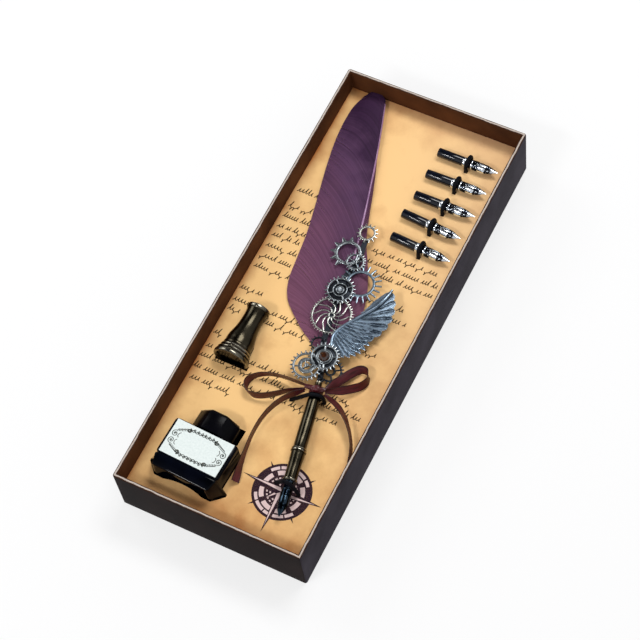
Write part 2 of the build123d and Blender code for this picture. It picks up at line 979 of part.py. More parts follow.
def make_left_gear():
    r = left_gear_radius
    stud_radius, stud_height = 0.2 * r, gear_thickness
    face = toothed_outline(22, r, 0.87 * r, turn=3) - ring(0.7 * r, 0.46 * r)
    face = face + spokes(3, 0.43 * r, 0.73 * r, spoke_width, turn=75)
    stud = sided_bar([
        (stud_radius, 0),
        (stud_radius, stud_height / 2),
        (0.6 * stud_radius, stud_height),
    ], stone_sides)
    top = pen_place * Pos(*left_gear_place, layer_high) * Rot(90, 0, 0) * stud
    return gear_at(left_gear_place, face, layer_middle) + top


def make_right_gear():
    r = right_gear_radius
    face = toothed_outline(20, r, 0.855 * r, turn=5) - ring(0.68 * r, 0.37 * r)
    face = face + spokes(4, 0.33 * r, 0.72 * r, spoke_width, turn=20)
    return gear_at(right_gear_place, face, layer_low)


def domed_stone(radius):
    """A cut stone: flat base, short girdle, two rings of facets and a flat table."""
    profile = [
        (radius, 0),
        (radius, stone_girdle),
        (0.82 * radius, 0.66 * stone_height),
        (0.45 * radius, stone_height),
    ]
    return Rot(90, 0, 0) * sided_bar(profile, stone_sides)


def make_clear_stone():
    return pen_place * Pos(*jewel_gear_place, layer_high) * domed_stone(clear_stone_radius)


def make_amber_stone():
    radius = amber_stone_radius - stone_fit
    return pen_place * Pos(*amber_gear_place, stack_top) * domed_stone(radius)


spine_route = [
    (0.0, spine_start),
    (0.0, spine_start + 2.5),
    (-1.6, 78.0),
    (-4.4, 92.0),
    (-4.1, 110.5),
    (-3.6, 128.0),
    (-2.6, 139.5),
    (1.2, 147.0),
    (2.7, 153.0),
    (2.5, 160.0),
    (2.8, 165.4),
]


def make_gear_spine():
    """Flat strip under the gears, from the neck to the last ring."""
    line = Polyline(*spine_route)
    strip = trace(line, spine_width)
    for across, along in spine_route[2:]:
        strip = strip + Pos(across, along) * Circle(spine_width / 2)
    body = Pos(0, 0, -spine_top) * extrude(strip, spine_thickness)
    return pen_place * body


# Wing

wing_edge = Spline(
    (1.9, 91.5),
    (3.0, 98.0),
    (7.0, 104.4),
    (14.5, 111.0),
    (22.6, 120.6),
    (27.6, 132.6),
)
primary_roots = ThreePointArc((18.0, 101.0), (12.6, 107.5), (19.5, 119.5))
primary_tips = ThreePointArc((25.6, 100.2), (33.2, 115.5), (28.2, 134.2))
covert_roots = ThreePointArc((1.8, 91.5), (6.2, 102.5), (15.5, 111.5))
covert_tips = ThreePointArc((5.5, 86.4), (17.4, 84.6), (25.6, 98.8))


def plume(root, tip, width):
    """One flat feather: narrow root, full middle and blunt point."""
    length = math.dist(root, tip)
    lean = math.degrees(math.atan2(tip[0] - root[0], tip[1] - root[1]))
    right = [(0.3, 0), (0.5, 0.55), (0.36, 0.9), (0, 1)]
    half = [(width * across, length * along) for across, along in right]
    other_half = [(-x, y) for x, y in reversed(half[:-1])]
    face = make_face(Polyline(*half, *other_half, close=True))
    return Pos(root[0], root[1]) * Rot(0, 0, -lean) * face


def plume_row(roots, tips, count, reach, width, low):
    """A fan of feathers from one arc, over a share of the way to the other."""
    row = []
    for number in range(count):
        way = (number + 0.25) / (count - 0.5)
        root_end = roots @ way
        tip_end = root_end + (tips @ way - root_end) * reach
        face = plume((root_end.X, root_end.Y), (tip_end.X, tip_end.Y), width)
        row.append(Pos(0, 0, low + 0.12 * (number % 2)) * extrude(face, wing_thickness))
    return row


def make_wing():
    """Long primaries and three rows of coverts fanned from a thick leading edge."""
    base = layer_middle
    step = wing_row_step
    width = long_plume_width
    rows = plume_row(primary_roots, primary_tips, 7, 1.0, width, base)
    rows += plume_row(covert_roots, covert_tips, 8, 1.0, 0.85 * width, base)
    rows += plume_row(covert_roots, covert_tips, 7, 0.72, 0.75 * width, base + step)
    rows += plume_row(covert_roots, covert_tips, 6, 0.45, 0.7 * width, base + 2 * step)
    arm = trace(wing_edge, wing_arm_width)
    body = (Pos(0, 0, base) * extrude(arm, wing_thickness + 3 * step)).fuse(*rows)
    over_gear = Pos(*amber_gear_place, layer_high) * Cylinder(
        amber_gear_radius + wing_gear_gap,
        stack_top,
        align=(Align.CENTER, Align.CENTER, Align.MIN),
    )
    return pen_place * (body - over_gear)


# Ribbon

knot_station = 59.2
knot_band_length = 4.4
knot_band_thickness = 0.6
knot_width = 11.5
knot_depth = 2.6
knot_across = -0.25



knot_left = knot_across - knot_width / 2 - 0.3
knot_right = knot_across + knot_width / 2 + 0.3
loop_left_route = [
    pen_point(knot_left, knot_station + 1.5),
    beside_mouth(-29.0, 58.6),
    beside_mouth(-40.0, 58.0),
    beside_mouth(-49.0, 55.0),
    beside_mouth(-54.4, 49.0),
    beside_mouth(-51.6, 42.0),
    beside_mouth(-43.4, 41.2),
    beside_mouth(-34.0, 46.4),
    beside_mouth(-26.0, 52.8),
    pen_point(knot_left, knot_station - 0.4),
]
loop_right_route = [
    pen_point(knot_right, knot_station + 1.6),
    beside_mouth(-1.6, 68.4),
    beside_mouth(2.6, 76.4),
    beside_mouth(7.0, 81.6),
    beside_mouth(11.8, 78.4),
    beside_mouth(11.2, 71.6),
    beside_mouth(5.4, 66.0),
    beside_mouth(-1.0, 61.6),
    pen_point(knot_right, knot_station - 0.1),
]
tail_left_route = [
    pen_point(knot_left, knot_station - 1.7),
    beside_mouth(-25.0, 48.6),
    beside_mouth(-30.2, 40.4),
    beside_mouth(-33.4, 30.6),
    beside_mouth(-34.2, 19.0),
    beside_mouth(-33.0, 7.0),
    beside_mouth(-31.4, -3.4),
    beside_mouth(-29.6, -12.5),
]
tail_right_route = [
    pen_point(knot_right, knot_station - 1.6),
    beside_mouth(1.8, 55.8),
    beside_mouth(9.4, 51.6),
    beside_mouth(15.6, 45.8),
    beside_mouth(20.6, 39.2),
    beside_mouth(24.2, 32.4),
    beside_mouth(26.0, 25.0),
]


def ribbon_strip(route, name):
    """A ribbon on edge along a level route, then tipped from its first point to the card."""
    path = smooth_route([(x, y, 0) for x, y in route])
    radii = ", ".join(f"{r:.1f}" for r in route_radii([(x, y, 0) for x, y in route]))
    print(f"{name}: length {path.length:.1f} mm, arc radii {radii}")
    start = Plane(origin=path @ 0, x_dir=(path % 0).cross(Vector(0, 0, 1)), z_dir=path % 0)
    strip = sweep(start * Rectangle(ribbon_thickness, ribbon_width), path)
    first = Vector(*route[0])
    far = max((Vector(x, y) for x, y in route), key=lambda p: (p - first).length)
    away = far - first
    low_point = card_top + ribbon_floor_gap
    drop = ribbon_top - ribbon_width - low_point
    tip = math.degrees(math.asin(drop / away.length))
    heading = math.degrees(math.atan2(away.Y, away.X))
    centre = (first.X, first.Y, ribbon_top - ribbon_width / 2)
    flat = Pos(-first.X, -first.Y, 0) * strip
    return Location(centre) * Rot(0, 0, heading) * Rot(0, tip, 0) * Rot(0, 0, -heading) * flat


def make_ribbon_knot():
    """A band round the barrel under a folded knot."""
    inner = barrel_radius_high + 0.02
    s, half = knot_station, knot_band_length / 2
    band = turned([
        (inner, s - half),
        (inner + knot_band_thickness, s - half),
        (inner + knot_band_thickness, s + half),
        (inner, s + half),
    ])
    low = inner + knot_band_thickness / 2
    lump = Pos(knot_across, s, low) * Box(
        knot_width,
        knot_band_length,
        knot_depth,
        align=(Align.CENTER, Align.CENTER, Align.MIN),
    )
    lump = chamfer(lump.edges().filter_by(Axis.Y), knot_depth * 0.3)
    core = turned([(0, s - half - 1), (inner, s - half - 1), (inner, s + half + 1), (0, s + half + 1)])
    return pen_place * (band + (lump - core))


def write_parts():
    os.makedirs("parts", exist_ok=True)
    shaft = make_feather_shaft()
    shank = make_nib_shank()
    point = make_nib_point()
    barrel = make_pen_barrel()
    nib_rear = Pos(0, shank_length, 0) * Rot(0, 0, 180)
    solids = {
        "tray_board": make_tray_board(),
        "tray_wrap": make_tray_wrap(),
        "base_paper": make_base_paper(),
        **make_foam(),
        "printed_card": make_printed_card(),
        "pen_tie_front": make_pen_tie_front(),
        "pen_tie_rear": make_pen_tie_rear(),
        "pen_stand": make_pen_stand(),
        "ink_bottle": make_ink_bottle(),
        "bottle_label": make_bottle_label(),
        "ink_cap": make_ink_cap(),
        "cap_liner": make_cap_liner(),
        "mouth_ring": pen_place * make_mouth_ring(),
        "pen_grip": pen_place * make_pen_grip(),
        "barrel_collar": pen_place * make_barrel_collar(),
        "pen_barrel": pen_place * barrel,
        "pen_neck": pen_place * make_pen_neck(),
        "gear_spine": make_gear_spine(),
        "feather_shaft": pen_place * shaft,
        "feather_vane_left": pen_place * (make_vane(vane_left_edge) - shaft),
        "feather_vane_right": pen_place * (make_vane(vane_right_edge) - shaft),
        "crown_gear": make_crown_gear(),
        "crescent_gear": make_crescent_gear(),
        "spoked_gear": make_spoked_gear(),
        "long_tooth_gear": make_long_tooth_gear(),
        "jewel_gear": make_jewel_gear(),
        "swirl_wheel": make_swirl_wheel(),
        "small_ring_gear": make_small_ring_gear(),
        "amber_gear": make_amber_gear(),
        "left_gear": make_left_gear(),
        "right_gear": make_right_gear(),
        "clear_stone": make_clear_stone(),
        "amber_stone": make_amber_stone(),
        "wing": make_wing(),
        "ribbon_knot": make_ribbon_knot(),
        "ribbon_loop_left": ribbon_strip(loop_left_route, "left loop"),
        "ribbon_loop_right": ribbon_strip(loop_right_route, "right loop"),
        "ribbon_tail_left": ribbon_strip(tail_left_route, "left tail"),
        "ribbon_tail_right": ribbon_strip(tail_right_route, "right tail"),
        "pen_nib_shank": pen_place * nib_rear * shank,
        "pen_nib_point": pen_place * nib_rear * point,
    }
    for number, nib in enumerate(spare_nibs, start=1):
        solids[f"nib_tie_{number}"] = make_nib_tie(nib)
        solids[f"nib_{number}_shank"] = nib_place(nib) * along_x(shank)
        solids[f"nib_{number}_point"] = nib_place(nib) * along_x(point)
    for name, solid in solids.items():
        export_step(solid, f"parts/{name}.step")


write_parts()
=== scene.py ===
"""Dresses the CAD frame of a quill pen gift box: paper tray, printed card, feather pen with cast
gears and wing, ribbon, spare nibs, ink bottle and pen stand."""

import math
import random
from functools import partial
from itertools import accumulate

import bmesh
import bpy
from mathutils import Matrix, Vector


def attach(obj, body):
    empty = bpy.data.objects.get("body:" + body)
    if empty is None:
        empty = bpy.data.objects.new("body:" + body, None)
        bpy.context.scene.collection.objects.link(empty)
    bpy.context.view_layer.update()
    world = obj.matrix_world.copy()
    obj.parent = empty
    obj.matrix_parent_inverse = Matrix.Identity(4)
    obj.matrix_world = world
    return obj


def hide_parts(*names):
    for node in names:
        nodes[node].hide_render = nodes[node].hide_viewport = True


bl_info = {
    "name": "Quill Pen Gift Box",
    "version": (1, 0, 0),
    "blender": (4, 5, 0),
    "location": "View3D > Sidebar > Gift Box",
    "description": "Builds a feather pen gift box over its CAD frame",
    "category": "Add Mesh",
}

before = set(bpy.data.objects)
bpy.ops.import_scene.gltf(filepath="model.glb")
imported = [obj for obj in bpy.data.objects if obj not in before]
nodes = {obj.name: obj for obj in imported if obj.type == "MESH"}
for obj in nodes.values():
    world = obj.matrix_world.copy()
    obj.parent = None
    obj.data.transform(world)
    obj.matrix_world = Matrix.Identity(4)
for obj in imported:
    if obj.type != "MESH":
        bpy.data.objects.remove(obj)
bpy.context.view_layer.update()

MM = 0.001
TURN = 2 * math.pi
# Points closer than this, in millimetres, are one
SAME_POINT = 0.0005

# The pen's own frame: Y along it from the mouth of its grip, X across it, Z up, in millimetres
PEN_MOUTH = (31.0, -111.01, 26.8)
PEN_TURN = math.radians(11.7)
CARD_TOP = 22.0
# Spare nibs: rear end of each one's shank and its turn in degrees
SPARE_NIBS = [
    (13.3, 128.5, 0.0), (13.2, 111.3, 1.0), (13.3, 94.4, 0.0), (12.0, 79.6, -4.0), (12.9, 62.1, -3.4),
]
NIB_AXIS = 25.3
PEN_NIB_REAR = 17.7


def place(x, y, z, turn=0.0):
    """Matrix that sets millimetres round an origin down in the frame's metres."""
    move = Matrix.Translation((x * MM, y * MM, z * MM)) @ Matrix.Rotation(turn, 4, "Z")
    return move @ Matrix.Scale(MM, 4)


IN_TRAY = Matrix.Scale(MM, 4)
ON_PEN = place(*PEN_MOUTH, PEN_TURN)
ON_BOTTLE = place(-26.3055, -138.601, 22.0, math.radians(-2.5))
ON_STAND = place(-38.0, -55.397, 27.0)


# Colours and nodes

def colour(text):
    """Linear colour of an sRGB hex value."""
    channels = [int(text[i:i + 2], 16) / 255 for i in (1, 3, 5)]
    linear = [c / 12.92 if c <= 0.04045 else ((c + 0.055) / 1.055) ** 2.4 for c in channels]
    return (*linear, 1.0)


def feed(node, inputs):
    """Gives a node its inputs: values, nodes or their outputs."""
    for key, value in inputs.items():
        if isinstance(value, bpy.types.Node):
            value = value.outputs[0]
        if isinstance(value, bpy.types.NodeSocket):
            node.id_data.links.new(value, node.inputs[key])
        else:
            node.inputs[key].default_value = value


def add_node(tree, kind, inputs=None, stops=(), **settings):
    """Adds one node with its settings, its inputs and the colour stops of a ramp."""
    node = tree.nodes.new(kind)
    for key, value in settings.items():
        setattr(node, key, value)
    feed(node, inputs or {})
    for _ in stops[2:]:
        node.color_ramp.elements.new(0.5)
    for i, (position, shade) in enumerate(stops):
        element = node.color_ramp.elements[i]
        element.position = position
        element.color = colour(shade) if isinstance(shade, str) else shade
    return node


def start_finish(name, sockets):
    """A material, what adds its nodes, and its shader with plain values on the shader's own sockets."""
    material = bpy.data.materials.new(name)
    material.use_nodes = True
    material.node_tree.nodes.clear()
    add = partial(add_node, material.node_tree)
    shader = add("ShaderNodeBsdfPrincipled", sockets)
    add("ShaderNodeOutputMaterial", {"Surface": shader})
    return material, add, shader


# Objects and meshes

def new_object(name, data):
    """A new object with its data, in the scene."""
    thing = bpy.data.objects.new(name, data)
    bpy.context.scene.collection.objects.link(thing)
    return thing


def add_piece(name, mesh, body, finish_name, replaces=(), crease=40.0):
    """Makes a mesh a piece that rides on a body and stands for CAD nodes."""
    mesh.name = name
    mesh.materials.clear()
    mesh.materials.append(finish(finish_name))
    mesh.shade_smooth()
    mesh.set_sharp_from_angle(angle=math.radians(crease))
    mesh.update()
    piece = new_object(name, mesh)
    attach(piece, body)
    if replaces:
        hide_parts(*replaces)
    return piece


def mesh_of(name, shape, where, uv=None, closed=True):
    """A mesh from vertices and faces in millimetres; a closed one is merged, its faces outwards."""
    vertices, faces = shape
    mesh = bpy.data.meshes.new(name)
    mesh.from_pydata([tuple(v) for v in vertices], [], faces)
    if uv:
        layer = mesh.uv_layers.new(name=uv[0])
        for polygon in mesh.polygons:
            corners = [uv[1][i] for i in polygon.vertices]
            # A face across the seam of a round map takes its low side one turn higher
            over_seam = uv[0] == "run" and max(v for _, v in corners) - min(v for _, v in corners) > 0.5
            for loop, (u, v) in zip(polygon.loop_indices, corners):
                layer.data[loop].uv = (u, v + 1.0 if over_seam and v < 0.5 else v)
    if closed:
        work = bmesh.new()
        work.from_mesh(mesh)
        bmesh.ops.remove_doubles(work, verts=work.verts, dist=SAME_POINT)
        bmesh.ops.recalc_face_normals(work, faces=work.faces)
        work.to_mesh(mesh)
        work.free()
    mesh.transform(where)
    return mesh


def joined(parts):
    """Vertices and faces of several parts in one list."""
    vertices, faces = [], []
    for part_vertices, part_faces in parts:
        faces += [tuple(len(vertices) + i for i in face) for face in part_faces]
        vertices += part_vertices
    return vertices, faces


def stitched(rings, loop=False):
    """Vertices and faces that join rings of points, closed at both ends or into a loop."""
    count = len(rings[0])
    vertices = [point for ring in rings for point in ring]
    faces = []
    for step in range(len(rings) if loop else len(rings) - 1):
        a, b = step * count, (step + 1) % len(rings) * count
        faces += [(a + i, a + (i + 1) % count, b + (i + 1) % count, b + i) for i in range(count)]
    if not loop:
        faces.append(tuple(range(count)))
        faces.append(tuple(reversed(range(len(vertices) - count, len(vertices)))))
    return vertices, faces


def around(sides, first=0.0):
    """Angles evenly round a circle, from a share of the first step."""
    return [TURN * (i + first) / sides for i in range(sides)]


def turned_rings(profile, sides, first=0.0):
    """Rings about Y through (radius, station) points."""
    return [
        [Vector((radius * math.cos(a), station, radius * math.sin(a))) for a in around(sides, first)]
        for radius, station in profile]


def turned(profile, sides, loop=False):
    """A body of revolution about Y from (radius, station) points."""
    return stitched(turned_rings(profile, sides), loop)


def oval(width, height, sides=12):
    return [(width / 2 * math.cos(a), height / 2 * math.sin(a)) for a in around(sides)]


def polar(centre, reach, angle):
    """The plan point at a reach and an angle from another."""
    return (centre[0] + reach * math.cos(angle), centre[1] + reach * math.sin(angle))


def rounded_corners(half_x, half_y, corner, steps):
    """Plan points of a rectangle's four rounded corners, one list for each."""
    corners = []
    for quarter, (sx, sy) in enumerate(((1, 1), (-1, 1), (-1, -1), (1, -1))):
        centre = (sx * (half_x - corner), sy * (half_y - corner))
        angles = [math.pi / 2 * (quarter + step / steps) for step in range(steps + 1)]
        corners.append([polar(centre, corner, angle) for angle in angles])
    return corners


def axes_at(line, i, up):
    """Directions at one point of a line: ahead, to the side and to the top."""
    ahead = (line[min(i + 1, len(line) - 1)] - line[max(i - 1, 0)]).normalized()
    side = ahead.cross(up).normalized()
    return ahead, side, side.cross(ahead).normalized()


def swept(line, section_at, up=Vector((0, 0, 1))):
    """A bar along a line, its section's points given at each share of the way."""
    rings = []
    for i, centre in enumerate(line):
        _, side, top = axes_at(line, i, up)
        rings.append([centre + side * u + top * v for u, v in section_at(i / (len(line) - 1))])
    return stitched(rings)


def between(values, share, easing=lambda blend: blend):
    """The value at a share of the way along a list of values."""
    at = share * (len(values) - 1)
    low = min(int(at), len(values) - 2)
    return values[low] + (values[low + 1] - values[low]) * easing(at - low)


def eased(points, per_span):
    """Points along a smooth curve through a short list of points."""
    points = [Vector(p) for p in points]
    ends = [points[0] * 2 - points[1], *points, points[-1] * 2 - points[-2]]
    line = []
    for a, b, c, d in zip(ends, ends[1:], ends[2:], ends[3:]):
        for t in [step / per_span for step in range(per_span)]:
            line.append(0.5 * (
                2 * b + (c - a) * t + (2 * a - 5 * b + 4 * c - d) * t**2
                + (3 * b - a - 3 * c + d) * t**3))
    return [*line, points[-1]]


def travelled_along(line):
    """How far along a line each of its points lies."""
    return [0.0, *accumulate((b - a).length for a, b in zip(line, line[1:]))]


def curve_object(name, kind, points):
    """A curve object with one spline."""
    curve = bpy.data.curves.new(name, "CURVE")
    curve.dimensions = "3D"
    spline = curve.splines.new(kind)
    spline.points.add(len(points) - 1)
    for control, point in zip(spline.points, points):
        control.co = (*point, 1.0)
    return new_object(name, curve)


def flat_area(points, height):
    """A flat printed area with its face upwards."""
    return [Vector((x, y, height)) for x, y in points], [tuple(range(len(points)))]


def flat_strip(pairs, height):
    """A flat printed strip between two rows of plan points, with its faces upwards."""
    vertices = [Vector((x, y, height)) for pair in pairs for x, y in pair]
    return vertices, [(i, i + 1, i + 3, i + 2) for i in range(0, len(vertices) - 2, 2)]


def flat_stroke(line, width, height):
    """A flat printed stroke along plan points."""
    pairs = []
    for i, (x, y) in enumerate(line):
        (x0, y0), (x1, y1) = line[max(i - 1, 0)], line[min(i + 1, len(line) - 1)]
        length = math.hypot(x1 - x0, y1 - y0) or 1.0
        u, v = (y0 - y1) / length * width / 2, (x1 - x0) / length * width / 2
        pairs.append(((x + u, y + v), (x - u, y - v)))
    return flat_strip(pairs, height)


def flat_sector(inner, outer, start, end, steps, height):
    """A printed piece of a ring of the compass, from one angle in degrees to another."""
    angles = [math.radians(start + (end - start) * i / steps) for i in range(steps + 1)]
    return flat_strip([[polar(COMPASS_AT, r, angle) for r in (inner, outer)] for angle in angles], height)


# Geometry trees

ARC_LABELS = [f"{end} {spot}" for end in ("Root", "Tip") for spot in ("start", "middle", "end")]
# What a cast gear is given, and its values where a gear names none
GEAR_INPUTS = [
    ("Teeth", "Int", 20), ("Kept teeth", "Int", 99), ("Tip radius", "Float", 10.0),
    ("Root radius", "Float", 8.5), ("Bore radius", "Float", 6.8), ("Tooth width", "Float", 1.2),
    ("Tooth taper", "Float", 0.6), ("Thickness", "Float", 1.2), ("Hub", "Bool", True),
    ("Hub radius", "Float", 3.0), ("Hub bore", "Float", 1.0), ("Spokes", "Int", 4),
    ("Spoke width", "Float", 1.0), ("Spoke sweep", "Float", 0.0), ("Turn", "Float", 0.0),
]


def open_tree(name, sockets):
    """A geometry tree with named inputs, the function that adds its nodes, and what it is given."""
    tree = bpy.data.node_groups.new(name, "GeometryNodeTree")
    for label, kind, default in (("Geometry", "Geometry", None), *sockets, ("Finish", "Material", None)):
        socket = tree.interface.new_socket(label, in_out="INPUT", socket_type="NodeSocket" + kind)
        if default is not None:
            socket.default_value = default
    tree.interface.new_socket("Geometry", in_out="OUTPUT", socket_type="NodeSocketGeometry")
    add = partial(add_node, tree)
    return tree, add, add("NodeGroupInput").outputs


def close_tree(add, given, geometry):
    """Ends a tree in plain geometry with its material."""
    plain = add("GeometryNodeRealizeInstances", {0: geometry})
    dressed = add("GeometryNodeSetMaterial", {0: plain, "Material": given["Finish"]})
    add("NodeGroupOutput", {0: dressed})


def grown(name, tree, where, finish_name, values, mesh=None):
    """The plain mesh that a geometry tree makes from a mesh and its inputs' values."""
    holder = new_object(name, mesh or bpy.data.meshes.new(name))
    modifier = holder.modifiers.new(name, "NODES")
    modifier.node_group = tree
    values = {**values, "Finish": finish(finish_name)}
    for socket in tree.interface.items_tree:
        if socket.in_out == "INPUT" and socket.name in values:
            modifier[socket.identifier] = values[socket.name]
    depsgraph = bpy.context.evaluated_depsgraph_get()
    result = bpy.data.meshes.new_from_object(holder.evaluated_get(depsgraph))
    bpy.data.objects.remove(holder)
    result.transform(where)
    return result


def rounded_bar(add, line, width, height, narrow, corner_share, arcs, inputs):
    """Sweeps a section with rounded corners along a level line."""
    corner = add("ShaderNodeMath", {0: narrow, 1: corner_share}, operation="MULTIPLY")
    level = add("GeometryNodeSetCurveNormal", {0: line}, mode="Z_UP")
    block = add("GeometryNodeCurvePrimitiveQuadrilateral", {"Width": width, "Height": height})
    section = add("GeometryNodeFilletCurve", {0: block, "Radius": corner, "Count": arcs}, mode="POLY")
    return add("GeometryNodeCurveToMesh", {0: level, 1: section, **inputs})


def cast_gear_tree():
    """A cast gear: rounded rim with tapered teeth, a second ring or hub, and swept spokes."""
    tree, add, given = open_tree("cast_gear", GEAR_INPUTS)
    parts = []
    for outer, inner, share in (("Root radius", "Bore radius", 1.0), ("Hub radius", "Hub bore", 0.9)):
        # A band is a circle at its middle radius, swept by a rounded section
        radii = {0: given[outer], 1: given[inner]}
        middle = add("ShaderNodeMath", {0: add("ShaderNodeMath", radii), 1: 0.5}, operation="MULTIPLY")
        width = add("ShaderNodeMath", radii, operation="SUBTRACT")
        height = add("ShaderNodeMath", {0: given["Thickness"], 1: share}, operation="MULTIPLY")
        narrow = add("ShaderNodeMath", {0: width, 1: height}, operation="MINIMUM")
        circle = add("GeometryNodeCurvePrimitiveCircle", {"Resolution": 56, "Radius": middle})
        parts.append(rounded_bar(add, circle, width, height, narrow, 0.36, 3, {}))
    parts[1] = add(
        "GeometryNodeSwitch", {"Switch": given["Hub"], "True": parts[1]}, input_type="GEOMETRY")

    # A tooth's line and a spoke's, each from inside what it grows out of
    lines = []
    for ends in (
            (("Root radius", -0.3), ("Tip radius", 0.0)), (("Hub radius", -0.25), ("Bore radius", 0.3))):
        start, end = [add("ShaderNodeCombineXYZ", {
            0: add("ShaderNodeMath", {0: given[radius], 1: shift})}) for radius, shift in ends]
        lines.append(add("GeometryNodeCurvePrimitiveLine", {"Start": start, "End": end}))
    along = add("GeometryNodeSplineParameter")
    shrink = add("ShaderNodeMapRange", {0: along, 3: 1.0, 4: given["Tooth taper"]})
    # Spokes are swept sideways in an easy S from the hub to the rim
    points = add("GeometryNodeResampleCurve", {0: lines[1], "Count": 16})
    swing = add(
        "ShaderNodeMapRange", {0: along, 4: given["Spoke sweep"]}, interpolation_type="SMOOTHSTEP")
    reach = add("ShaderNodeSeparateXYZ", {0: add("GeometryNodeInputPosition")})
    swung = [add("ShaderNodeMath", {
        0: reach, 1: add("ShaderNodeMath", {0: swing}, operation=wave)}, operation="MULTIPLY")
        for wave in ("COSINE", "SINE")]
    bent = add("ShaderNodeCombineXYZ", {0: swung[0], 1: swung[1]})
    lines[1] = add("GeometryNodeSetPosition", {0: points, "Position": bent})

    number = add("GeometryNodeInputIndex")
    for line, width, height_share, corner, count, kept, scale in (
            (lines[0], "Tooth width", 0.86, 0.25, "Teeth", "Kept teeth", {"Scale": shrink}),
            (lines[1], "Spoke width", 0.74, 0.3, "Spokes", "Spokes", {})):
        height = add("ShaderNodeMath", {0: given["Thickness"], 1: height_share}, operation="MULTIPLY")
        shape = rounded_bar(
            add, line, given[width], height, given[width], corner, 2, {"Fill Caps": True, **scale})
        pitch = add("ShaderNodeMath", {0: 2 * math.pi, 1: given[count]}, operation="DIVIDE")
        angle = add("ShaderNodeMath", {0: number, 1: pitch, 2: given["Turn"]}, operation="MULTIPLY_ADD")
        parts.append(add("GeometryNodeInstanceOnPoints", {
            0: add("GeometryNodePoints", {0: given[count]}),
            "Selection": add("ShaderNodeMath", {0: number, 1: given[kept]}, operation="LESS_THAN"),
            "Instance": shape, "Rotation": add("ShaderNodeCombineXYZ", {2: angle})}))
    whole = add("GeometryNodeJoinGeometry")
    for part in parts:
        feed(whole, {0: part})
    close_tree(add, given, whole)
    return tree


def plume_fan_tree():
    """Feathers of one shape, fanned from points along one arc towards points along another."""
    tree, add, given = open_tree("plume_fan", [
        ("Feathers", "Int", 8), *[(label, "Vector", None) for label in ARC_LABELS],
        ("Reach", "Float", 1.0), ("Width", "Float", 5.0), ("Lift", "Float", 0.12)])
    number = add("GeometryNodeInputIndex")
    shifted = add("ShaderNodeMath", {0: number, 1: 0.25})
    spread = add("ShaderNodeMath", {0: given["Feathers"], 1: 0.5}, operation="SUBTRACT")
    way = add("ShaderNodeMath", {0: shifted, 1: spread}, operation="DIVIDE")
    arcs = [add("GeometryNodeCurveArc", {
        "Resolution": 40, "Start": given[end + " start"], "Middle": given[end + " middle"],
        "End": given[end + " end"]}, mode="POINTS") for end in ("Root", "Tip")]
    root, tip = [
        add("GeometryNodeSampleCurve", {0: arc, "Factor": way}, use_all_curves=True).outputs["Position"]
        for arc in arcs]
    run = add("ShaderNodeVectorMath", {0: tip, 1: root}, operation="SUBTRACT")
    length = add("ShaderNodeVectorMath", {0: run}, operation="LENGTH").outputs["Value"]
    reach = add("ShaderNodeMath", {0: length, 1: given["Reach"]}, operation="MULTIPLY")
    lifted = add("ShaderNodeMath", {0: number, 1: given["Lift"]}, operation="MULTIPLY")
    start = add("ShaderNodeVectorMath", {0: root, 1: add("ShaderNodeCombineXYZ", {2: lifted})})
    points = add("GeometryNodePoints", {0: given["Feathers"]})
    fan = add("GeometryNodeInstanceOnPoints", {
        0: add("GeometryNodeSetPosition", {0: points, "Position": start}),
        "Instance": given["Geometry"],
        "Rotation": add("FunctionNodeAlignRotationToVector", {"Vector": run}, axis="Y", pivot_axis="Z"),
        "Scale": add("ShaderNodeCombineXYZ", {0: given["Width"], 1: reach, 2: 1.0})})
    close_tree(add, given, fan)
    return tree


